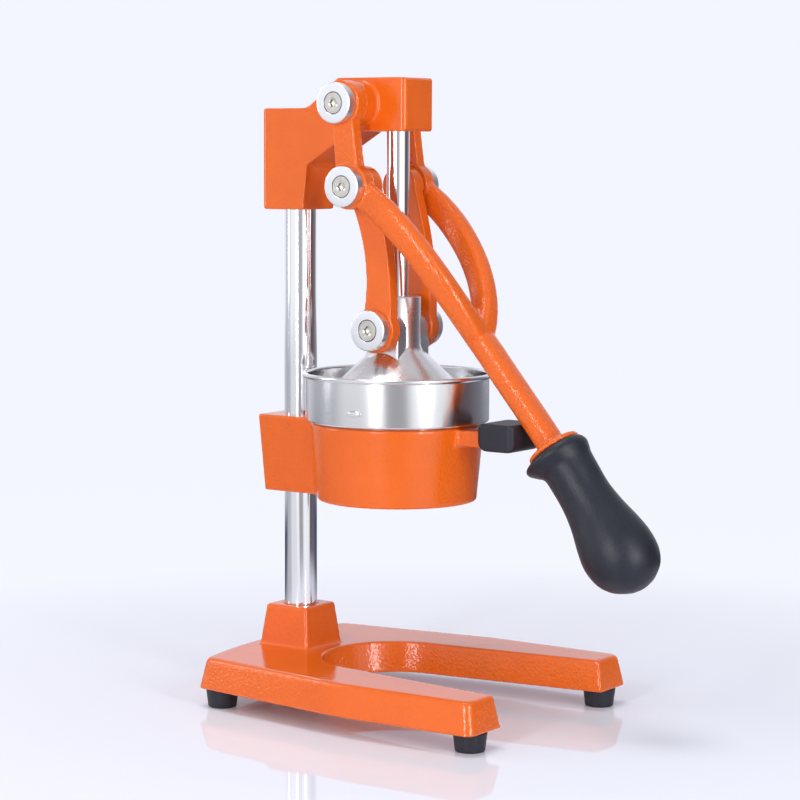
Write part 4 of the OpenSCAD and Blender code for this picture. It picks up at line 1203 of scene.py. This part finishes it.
@dataclass(frozen=True)
class Press:
    """The press dome with its ears, the guide rod and the links.

    The dome is hollow below a ball of `ball_r`, up to a flat crown. `cone_down` is how far below the lower
    pivot the cone begins. A link's pairs give its edges' distances at the lower and the middle pivot.
    """

    neck_r: float = 15.6
    neck_top: float = 275.5
    bore_r: float = 7.53
    skirt_r: float = 51.5
    skirt_z: float = 205.0
    hollow_top: float = 231.0
    ball_r: float = 54.58
    crown_r: float = 7.2
    socket_deep: float = 4.0
    cone_down: float = 13.0
    ear_r: float = 13.0
    ear_edge: float = 1.2
    rod_r: float = 7.5
    rod_z: Pair = (243.2, 417.7)
    link_rear: Pair = (10.6, 11.5)
    link_front: Pair = (12.8, 12.5)
    link_bows: Pair = (9.9, 4.5)
    link_eyes: Pair = (15.3, 13.3)

    def dome(self) -> None:
        """Makes the dome: a turned neck, cone and skirt, with an ear on each side for the links."""
        low_z, hollow, crown = PIVOTS.lower[1], self.hollow_top, self.crown_r
        bore, neck, top = self.bore_r, self.neck_r, self.neck_top
        skirt, rim = self.skirt_r, self.skirt_z
        corners = [(bore, top), (neck, top), (neck, low_z - self.cone_down)]
        corners += [(skirt - 0.6, rim + 3), (skirt, rim), (0, rim)]
        out = rounded(corners, [0, 0.9, 7, 1.2, 0.6, 0], 10)[:-1]
        start = math.degrees(math.asin((rim - hollow + self.ball_r) / self.ball_r))
        end = math.degrees(math.acos(crown / self.ball_r))
        ball = arc((0, hollow - self.ball_r), self.ball_r, start, end, 20)
        seat = hollow + self.socket_deep
        body = Shape().lathe([*out, *ball, (crown, seat), (bore, seat)], None, FINE).object("press_dome_body")
        r, floor, side = self.ear_r, hollow + 1, PIVOTS.ear_side
        outline = [(-r, floor), (r, floor), *arc((0, low_z), r, 0, 180, 40)]
        ears = Shape().prism(outline, -side, side, plate_across()).object("ears")
        bevel = ears.modifiers.new("edge", "BEVEL")
        bevel.width = self.ear_edge * MM
        bevel.segments = 3
        bevel.angle_limit = math.radians(40)
        combined(body, applied(ears), "UNION")
        hole = [(0, seat), (bore, seat), (bore, top + 2), (0, top + 2)]
        combined(body, Shape().lathe(hole).object("rod_hole"), "DIFFERENCE")
        deliver(body, DOME_METAL, Body.PRESS, ["press_dome"], 30)

    def rod(self) -> None:
        """Makes the chromed guide rod."""
        (low, high), r = self.rod_z, self.rod_r
        made = Shape().lathe([(0, low), (r, low), (r, high - 1), (r - 1, high), (0, high)])
        deliver(made.object("guide_rod_bar"), CHROME, Body.PRESS, ["guide_rod"])

    def link(self, left: bool) -> None:
        """Makes one link: a bowed plate between two eyes.

        Args:
            left: True for the left link.
        """
        (ly, lz), (my, mz) = PIVOTS.lower, PIVOTS.middle
        inner, outer = PIVOTS.link_in, PIVOTS.link_out
        rear, front = [], []
        for t in (i / 24 for i in range(25)):
            y, z, bow = mix(ly, my, t), mix(lz, mz, t), 4 * t * (1 - t)
            rear.append((y + mix(*self.link_rear, t) - self.link_bows[0] * bow, z))
            front.append((y - mix(*self.link_front, t) - self.link_bows[1] * bow, z))
        made = Shape().prism(front + rear[::-1], inner, outer, plate_across(-1 if left else 1))
        for (y, z), r, face in zip((PIVOTS.lower, PIVOTS.middle), self.link_eyes, (outer, PIVOTS.link_boss)):
            made.disc(r, face - inner, along_x(inner, y, z, left))
        name = "link_left" if left else "link_right"
        done = cast(made.object(name + "_casting"), voxel=0.65, passes=5)
        deliver(done, SMOOTH_PAINT, Body.LINKS, [name], 60)


# Share of the grip's length, radius and how far the ring's middle lies towards the under side
GRIP_ROWS = (
    (0.0, 18.0, 0.0), (0.012, 20.2, 0.9), (0.025, 21.78, 1.7), (0.049, 22.0, 1.3),
    (0.085, 19.97, -0.15), (0.128, 17.55, -1.55), (0.209, 17.05, -1.4), (0.341, 17.05, -0.6),
    (0.474, 19.0, 0.0), (0.607, 22.4, 0.85), (0.72, 24.3, 1.35), (0.834, 23.0, 1.15),
    (0.919, 18.18, 0.5), (0.976, 10.2, 0.0), (0.995, 4.4, 0.0), (1.0, 1.2, 0.0),
)


@dataclass(frozen=True)
class Lever:
    """The forked lever casting and its grip.

    The arm bows towards its under side by `sag`, given by the way along the arm. A fork's arm starts at
    its eye, follows two handles that are shares of its reach and drop, and widens from root to tip.
    """

    join: Pair = (-62.6, 256.534)
    lean: float = 38.6
    arm_l: float = 93.0
    collar_r: float = 18.0
    collar_t: float = 3.2
    eye_r: float = 15.0
    grip_l: float = 105.5
    sag: tuple[Pair, ...] = (
        (-12.0, 2.3), (5.0, 2.1), (20.0, 1.5), (38.0, 1.2), (58.0, 0.7), (73.0, 0.3), (93.0, 0.0),
    )
    arm_half: Pair = (9.5, 8.0)
    crank_half: Pair = (8.0, 9.0)
    fork_x: float = 34.9
    fork_first: tuple[float, float, float] = (0.7, -0.51, -0.2)
    fork_second: tuple[float, float, float] = (30.0, 0.01, 0.27)
    fork_wide: tuple[float, float, float] = (8.2, 13.0, 17.8)
    fork_deep: Pair = (19.0, 14.8)

    def handle(self) -> Matrix:
        """Returns the placing that lays +Z along the handle from where the arms meet."""
        return Matrix.Translation((0, *self.join)) @ Matrix.Rotation(math.radians(180 - self.lean), 4, "X")

    def bar_ring(self, at: Vector, way: Vector, a: float, b: float) -> list[Vector]:
        """Returns a bar's rounded section set square to a direction.

        Args:
            at: The section's middle.
            way: The direction.
            a: Half its width across the lever.
            b: Half its depth.

        Returns:
            The section's points.
        """
        t = way.normalized()
        u = (Vector((1, 0, 0)) - t * t.x).normalized()
        w = t.cross(u)
        out = []
        for g in turns(40):
            c, s = math.cos(g), math.sin(g)
            p, q = math.copysign(abs(c) ** (2 / 3), c), math.copysign(abs(s) ** (2 / 3), s)
            out.append(at + u * (a * p) + w * (b * q))
        return out

    def fork_arm(self, made: Shape, side: int) -> None:
        """Adds one arm of the fork, from its eye to where the arms meet.

        Args:
            made: The lever.
            side: 1 on the right and -1 on the left.
        """
        lean = math.radians(self.lean)
        my, mz = PIVOTS.middle
        reach, drop = my - self.join[0], mz - self.join[1]
        start = Vector((self.fork_x * side, my, mz))
        end = Vector((0, *self.join)) + Vector((0, math.cos(lean), -math.sin(lean))) * self.sag[0][1]
        (x1, y1, z1), (x2, y2, z2) = self.fork_first, self.fork_second
        p = [
            start,
            start + Vector((x1 * side, y1 * reach, z1 * drop)),
            end + Vector((x2 * side, y2 * reach, z2 * drop)),
            end - Vector((0, math.sin(lean), math.cos(lean))) * 6,
        ]
        eye, root, tip = self.fork_wide
        rings = []
        for t in (k / 40 for k in range(41)):
            s = 1 - t
            at = p[0] * s**3 + p[1] * (3 * s * s * t) + p[2] * (3 * s * t * t) + p[3] * t**3
            way = (p[1] - p[0]) * s * s + (p[2] - p[1]) * (2 * s * t) + (p[3] - p[2]) * t * t
            grown = min(1.0, max(0.0, (t - 0.08) / 0.25))
            a, b = mix(eye, mix(root, tip, t**3), grown) / 2, mix(*self.fork_deep, t * t) / 2
            rings.append(self.bar_ring(at, way, a, b))
        made.loft(rings)

    def casting(self) -> None:
        """Makes the lever: four eyes, the two cranks, the fork, the single arm and its collar."""
        made = Shape()
        inner, outer = PIVOTS.eye_in, PIVOTS.eye_out
        a, b = Vector(PIVOTS.top), Vector(PIVOTS.middle)
        way = (b - a).normalized()
        narrow, wide = (Vector((-way.y, way.x)) * half for half in self.crank_half)
        crank = [tuple(a - narrow), tuple(b - wide), tuple(b + wide), tuple(a + narrow)]
        for side in (1, -1):
            for y, z in (PIVOTS.top, PIVOTS.middle):
                made.disc(self.eye_r, outer - inner, along_x(inner, y, z, side < 0))
            made.prism(crank, inner + 0.5, outer - 0.5, plate_across(side))
            self.fork_arm(made, side)
        up = Vector((0, 0, 1))
        arm = [self.bar_ring(Vector((0, -sag, s)), up, *self.arm_half) for s, sag in self.sag]
        made.loft(arm, self.handle())
        r, s, e = self.collar_r, self.arm_l, self.arm_l + self.collar_t
        made.lathe([(0, s - 2.5), (6.8, s - 2.5), (r - 1, s), (r, s + 1), (r, e), (0, e)], self.handle())
        done = cast(made.object("lever_casting"), voxel=0.75, passes=6, skin=(2.6, 0.22))
        deliver(done, LEVER_PAINT, Body.LEVER, ["lever"], 60)

    def grip(self) -> None:
        """Makes the moulded grip, whose guard and bulb reach further on its under side."""
        rows = [Vector(row) for row in GRIP_ROWS]
        last = len(rows) - 1
        rings = []
        for i in range(last):
            a, b, c, d = (rows[min(max(j, 0), last)] for j in (i - 1, i, i + 1, i + 2))
            for t in (k / 5 for k in range(5)):
                bend, twist = a * 2 - b * 5 + c * 4 - d, b * 3 - a - c * 3 + d
                rings.append(b + ((c - a) * t + bend * t * t + twist * t**3) / 2)
        rings.append(rows[-1])
        start = self.arm_l + self.collar_t
        skin = [
            [(v.y * math.cos(g), v.y * math.sin(g) - v.z, start + v.x * self.grip_l) for g in turns(72)]
            for v in rings
        ]
        made = Shape().loft(skin, self.handle()).object("grip_skin")
        deliver(made, GRIP_SKIN, Body.LEVER, ["grip"], 50)


@dataclass(frozen=True)
class Fastenings:
    """The pivot caps and their screws."""

    cap_r: float = 13.3
    cap_t: float = 7.4
    head_r: float = 6.8
    shank_r: float = 4.0
    socket_af: float = 5.0
    caps: dict[str, float] = field(default_factory=lambda: {"top": 40.2, "middle": 40.0, "lower": 27.6})

    def cap(self) -> Shape:
        """Returns one cap, from its inner face out."""
        r, t, h, b = self.cap_r, self.cap_t, self.head_r, self.shank_r + 0.03
        cone = t - 3.4
        profile = [(b, 0.0), (r - 0.6, 0.0), (r, 0.6), (r, t - 0.8), *arc((r - 0.8, t - 0.8), 0.8, 15, 90, 4)]
        profile += [(h + 0.7, t), (h + 0.45, t - 0.25), (h + 0.4, t - 0.9), (b, cone)]
        return Shape().lathe(profile)

    def screw(self) -> Shape:
        """Returns one countersunk socket screw, its head's face at 0 and its shank below it."""

        def ring(r: float, z: float, hexagon: bool = False) -> list[tuple[float, float, float]]:
            """Returns a round ring, or one that follows a hexagon with that distance to its flats."""
            out = []
            for g in turns(48):
                off = (g + math.pi / 6) % (math.pi / 3) - math.pi / 6
                reach = r / math.cos(off) if hexagon else r
                out.append((reach * math.cos(g), reach * math.sin(g), z))
            return out

        h, s, flat = self.head_r, self.shank_r, self.socket_af / 2
        socket = [ring(0.3, -3.4), ring(flat * 0.9, -2.8, True)]
        socket += [ring(flat, -2.6, True), ring(flat, -0.35, True)]
        face = [(flat + 0.8, 0.0), (h - 1.5, 0.0), (h - 1.35, -0.12), (h - 1.2, 0.0), (h - 0.4, 0.0)]
        face += [(h, -0.3), (h, -0.6)]
        shank = [(s, -3.4), (s, -16.5), (s - 0.8, -17.0)]
        return Shape().loft([*socket, *(ring(r, z) for r, z in (*face, *shank))])

    def make(self, tree: MeshTree) -> None:
        """Makes the caps and screws of the three pivots.

        Args:
            tree: The fasteners' tree.
        """
        bodies = {"top": Body.STAND, "middle": Body.LEVER, "lower": Body.PRESS}
        for number, (name, inner) in enumerate(self.caps.items()):
            y, z = getattr(PIVOTS, name)
            caps = [(along_x(inner, y, z, left), number + 2) for left in (False, True)]
            screws = [(along_x(inner + self.cap_t, y, z, left), number + 5) for left in (False, True)]
            made = set_fasteners(name + "_pivot_caps", tree, self.cap(), caps, CAP_METAL)
            deliver(made, CAP_METAL, bodies[name], [name + "_caps"], 25)
            made = set_fasteners(name + "_pivot_screws", tree, self.screw(), screws, SCREW_METAL)
            deliver(made, SCREW_METAL, bodies[name], [name + "_screws"], 25)


CARRIED: dict[Finish, tuple[str, ...]] = {
    PLAIN_METAL: (
        "foot_screws", "column_bolt", "column_washer", "rod_screw", "top_axle", "middle_pins", "lower_pins",
    ),
    BLACK_METAL: ("head_set_screws", "holder_set_screws"),
    BUSH_METAL: ("guide_bush",),
}


def finish_carried() -> None:
    """Gives every carried-over CAD node its finish."""
    for finish, names in CARRIED.items():
        for name in names:
            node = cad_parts[name]
            node.data.materials.clear()
            node.data.materials.append(finish.material())


# Studio


# Where each strip of the room begins or ends, as a share of a turn from the press's left, and its colour
STRIPS: tuple[tuple[float, Colour], ...] = (
    (0.0, (0.95, 0.96, 1.0)), (0.044, (0.95, 0.96, 1.0)), (0.054, (0.36, 0.36, 0.38)),
    (0.12, (0.36, 0.35, 0.38)), (0.145, (0.96, 0.97, 1.0)), (0.275, (0.95, 0.96, 1.0)),
    (0.305, (0.1, 0.06, 0.07)), (0.375, (0.11, 0.09, 0.1)), (0.446, (0.2, 0.2, 0.24)),
    (0.5, (0.3, 0.31, 0.35)), (0.66, (0.32, 0.33, 0.37)), (0.7, (0.75, 0.76, 0.8)),
    (0.76, (0.46, 0.47, 0.52)), (0.86, (0.5, 0.51, 0.56)), (0.9, (0.8, 0.81, 0.85)),
)


@dataclass(frozen=True)
class Lamp:
    """A soft oblong lamp: its place and size in metres, and its power in watts."""

    name: str
    place: tuple[float, float, float]
    size: Pair
    power: float


LAMPS = (
    Lamp("left_panel", (-1.59, -0.18, 0.54), (0.16, 1.0), 9.2),
    Lamp("right_panel", (-0.55, -1.5, 0.54), (0.18, 1.0), 10.0),
    Lamp("overhead", (-0.2, 0.3, 1.9), (0.7, 0.7), 10.0),
    Lamp("rear_strip", (-0.8, 1.5, 0.75), (0.3, 1.2), 5.0),
)


@dataclass(frozen=True)
class Studio:
    """Camera, lamps, floor and world. The eye is in millimetres, and the floor's sizes are in metres."""

    eye: tuple[float, float, float] = (-1372.02, -948.35, 372.65)
    azimuth: float = 55.41
    pitch: float = 5.699
    roll: float = 0.228
    focal_px: float = 2521.88
    picture_px: float = 800.0
    clip_end: float = 50.0
    pale: Colour = (0.935, 0.95, 1.04)
    daylight: Colour = (0.93, 0.94, 0.98)
    ceiling: Colour = (0.5, 0.51, 0.54)
    dusk: Colour = (0.05, 0.055, 0.1)
    sheen: Colour = (0.9, 0.92, 1.0)
    aim_z: float = 0.22
    floor_half: float = 3.0
    floor_near: float = -2.4
    floor_far: float = 2.6
    bend_r: float = 1.2
    backdrop_top: float = 3.5

    def strips(self, tree: Tree, x: Value, y: Value) -> Value:
        """Returns the room's upright strips of light and dark, as bright metal mirrors them.

        Args:
            tree: The tree they are built in.
            x: How far to the press's right the mirrored spot lies.
            y: How far behind the press it lies.

        Returns:
            The strip's colour.
        """
        stops = [(share, (*colour, 1.0)) for share, colour in STRIPS]
        turn = y.math("ARCTAN2", x) / (2 * math.pi) + 0.5
        return tree.node("ShaderNodeValToRGB", {"stops": stops}, [turn])

    def camera(self) -> None:
        """Makes the camera where the photograph was taken from."""
        data = bpy.data.cameras.new("camera")
        data.sensor_width = 36.0
        data.lens = self.focal_px / self.picture_px * data.sensor_width
        data.clip_end = self.clip_end
        made = linked("camera", data)
        a, e, r = (math.radians(x) for x in (self.azimuth, self.pitch, self.roll))
        ahead = Vector((math.sin(a) * math.cos(e), math.cos(a) * math.cos(e), -math.sin(e)))
        right = ahead.cross(Vector((0, 0, 1))).normalized()
        up = right.cross(ahead)
        right, up = right * math.cos(r) + up * math.sin(r), up * math.cos(r) - right * math.sin(r)
        turn = Matrix((right, up, -ahead)).transposed().to_4x4()
        made.matrix_world = Matrix.Translation(Vector(self.eye) * MM + Vector((0, AXIS_Y, 0))) @ turn
        bpy.context.scene.camera = made

    def lamps(self) -> None:
        """Makes the lamps, which all point at the press."""
        for lamp in LAMPS:
            data = bpy.data.lights.new(lamp.name, "AREA")
            data.shape = "RECTANGLE"
            data.size, data.size_y = lamp.size
            data.energy = lamp.power
            made = linked(lamp.name, data)
            made.location = lamp.place
            way = Vector(lamp.place) - Vector((0, 0, self.aim_z))
            made.rotation_euler = way.to_track_quat("Z", "Y").to_euler()

    def world(self) -> None:
        """Makes the room: pale all round, with the dark strips that bright metal mirrors."""
        world = bpy.data.worlds.new("room")
        bpy.context.scene.world = world
        world.use_nodes = True
        world.node_tree.nodes.clear()
        tree = Tree(world.node_tree)
        x, y, z = tree.axes(tree.node("ShaderNodeTexCoord", {}, {}, "Generated"))
        lift = ((z - 0.35) * 3.0).clamp()
        mirrored = tree.blend(lift, self.strips(tree, x, y), self.ceiling)
        camera, glossy = tree.rays()
        seen = tree.blend(camera, tree.blend(glossy, self.daylight, mirrored), self.pale)
        light = tree.node("ShaderNodeBackground", {}, {"Color": seen, "Strength": glossy * 0.88 + 0.42})
        shown = tree.node("ShaderNodeBackground", {}, {"Color": seen, "Strength": 1.0})
        both = tree.node("ShaderNodeMixShader", {}, [camera, light, shown])
        tree.node("ShaderNodeOutputWorld", {}, {"Surface": both})

    def floor_material(self) -> bpy.types.Material:
        """Returns the floor's material.

        It is matt with a faint shine under the press, and glows pale further out, so that no horizon shows.
        Bright metal mirrors it as the room's strips, and as dusk where it lies behind the press.
        """
        material = bpy.data.materials.new("pale_floor")
        material.use_nodes = True
        material.node_tree.nodes.clear()
        tree = Tree(material.node_tree)
        camera, glossy = tree.rays()
        a = math.radians(self.azimuth)
        x, y, z = tree.axes(tree.place())
        far = tree.node("ShaderNodeVectorMath", {"operation": "LENGTH"}, [tree.place()], 1)
        matt = tree.node("ShaderNodeBsdfDiffuse", {}, {"Color": (*self.pale, 1.0)})
        gloss = tree.node("ShaderNodeBsdfGlossy", {}, {"Color": (*self.sheen, 1.0), "Roughness": 0.04})
        shiny = tree.node("ShaderNodeMixShader", {}, [(0.42 - far).clamp(0.0, 0.2), matt, gloss])
        behind = ((x * math.sin(a) + y * math.cos(a) - 0.15) * 4.0).clamp()
        near = ((1.1 - far) * 4.0).clamp()
        banded = ((far - 0.25) * 4.0).clamp() * (1.0 - z * 20.0).math("MAXIMUM", 0.0)
        room = tree.blend(banded, self.pale, self.strips(tree, x, y))
        mirrored = tree.blend(glossy, self.pale, tree.blend(behind * near, room, self.dusk))
        glow = tree.node("ShaderNodeEmission", {}, {"Color": mirrored, "Strength": 1.0})
        veil = ((far - 0.2) * 2.2).clamp(0.0, 0.9) + 0.02
        share = camera * veil + glossy * ((far - 0.2) * 3.0).clamp(0.1, 0.95)
        lit = tree.node("ShaderNodeMixShader", {}, [share, shiny, glow])
        tree.node("ShaderNodeOutputMaterial", {}, {"Surface": lit})
        return material

    def floor(self) -> None:
        """Makes the pale floor, which runs up into a backdrop far behind."""
        bend, back = self.bend_r, self.floor_far
        a = math.radians(self.azimuth)
        ahead, side = Vector((math.sin(a), math.cos(a), 0)), Vector((math.cos(a), -math.sin(a), 0))
        curve = [math.pi / 2 * i / 12 for i in range(1, 13)]
        line = [(self.floor_near, 0.0), (back, 0.0)]
        line += [(back + bend * math.sin(g), bend * (1 - math.cos(g))) for g in curve]
        line += [(back + bend, self.backdrop_top)]
        half = side * self.floor_half
        points = [ahead * d + half * s + Vector((0, 0, z)) for d, z in line for s in (-1, 1)]
        faces = [(2 * i, 2 * i + 1, 2 * i + 3, 2 * i + 2) for i in range(len(line) - 1)]
        data = bpy.data.meshes.new("floor")
        data.from_pydata(points, [], faces)
        data.polygons.foreach_set("use_smooth", [True] * len(faces))
        data.materials.append(self.floor_material())
        linked("floor", data)

    def make(self) -> None:
        """Makes the whole studio."""
        self.camera()
        self.world()
        self.floor()
        self.lamps()
        bpy.context.scene.view_settings.view_transform = "Standard"


def main() -> None:
    """Makes every piece in order, then the studio."""
    logging.basicConfig(level=logging.INFO, format="%(name)s %(message)s")
    fasteners = fastener_tree()
    stand, bowl, press, lever = Stand(), Bowl(), Press(), Lever()
    steps: list[Callable[[], None]] = [
        stand.base, stand.head, stand.holder, stand.stop, stand.column, lambda: stand.feet(fasteners),
        bowl.drum, bowl.funnel, lambda: bowl.strainer(strainer_tree()), lambda: bowl.reamer(reamer_tree()),
        press.dome, press.rod, lambda: press.link(True), lambda: press.link(False),
        lever.casting, lever.grip, lambda: Fastenings().make(fasteners), finish_carried, Studio().make,
    ]
    for step in steps:
        step()


if __name__ == "__main__":
    main()
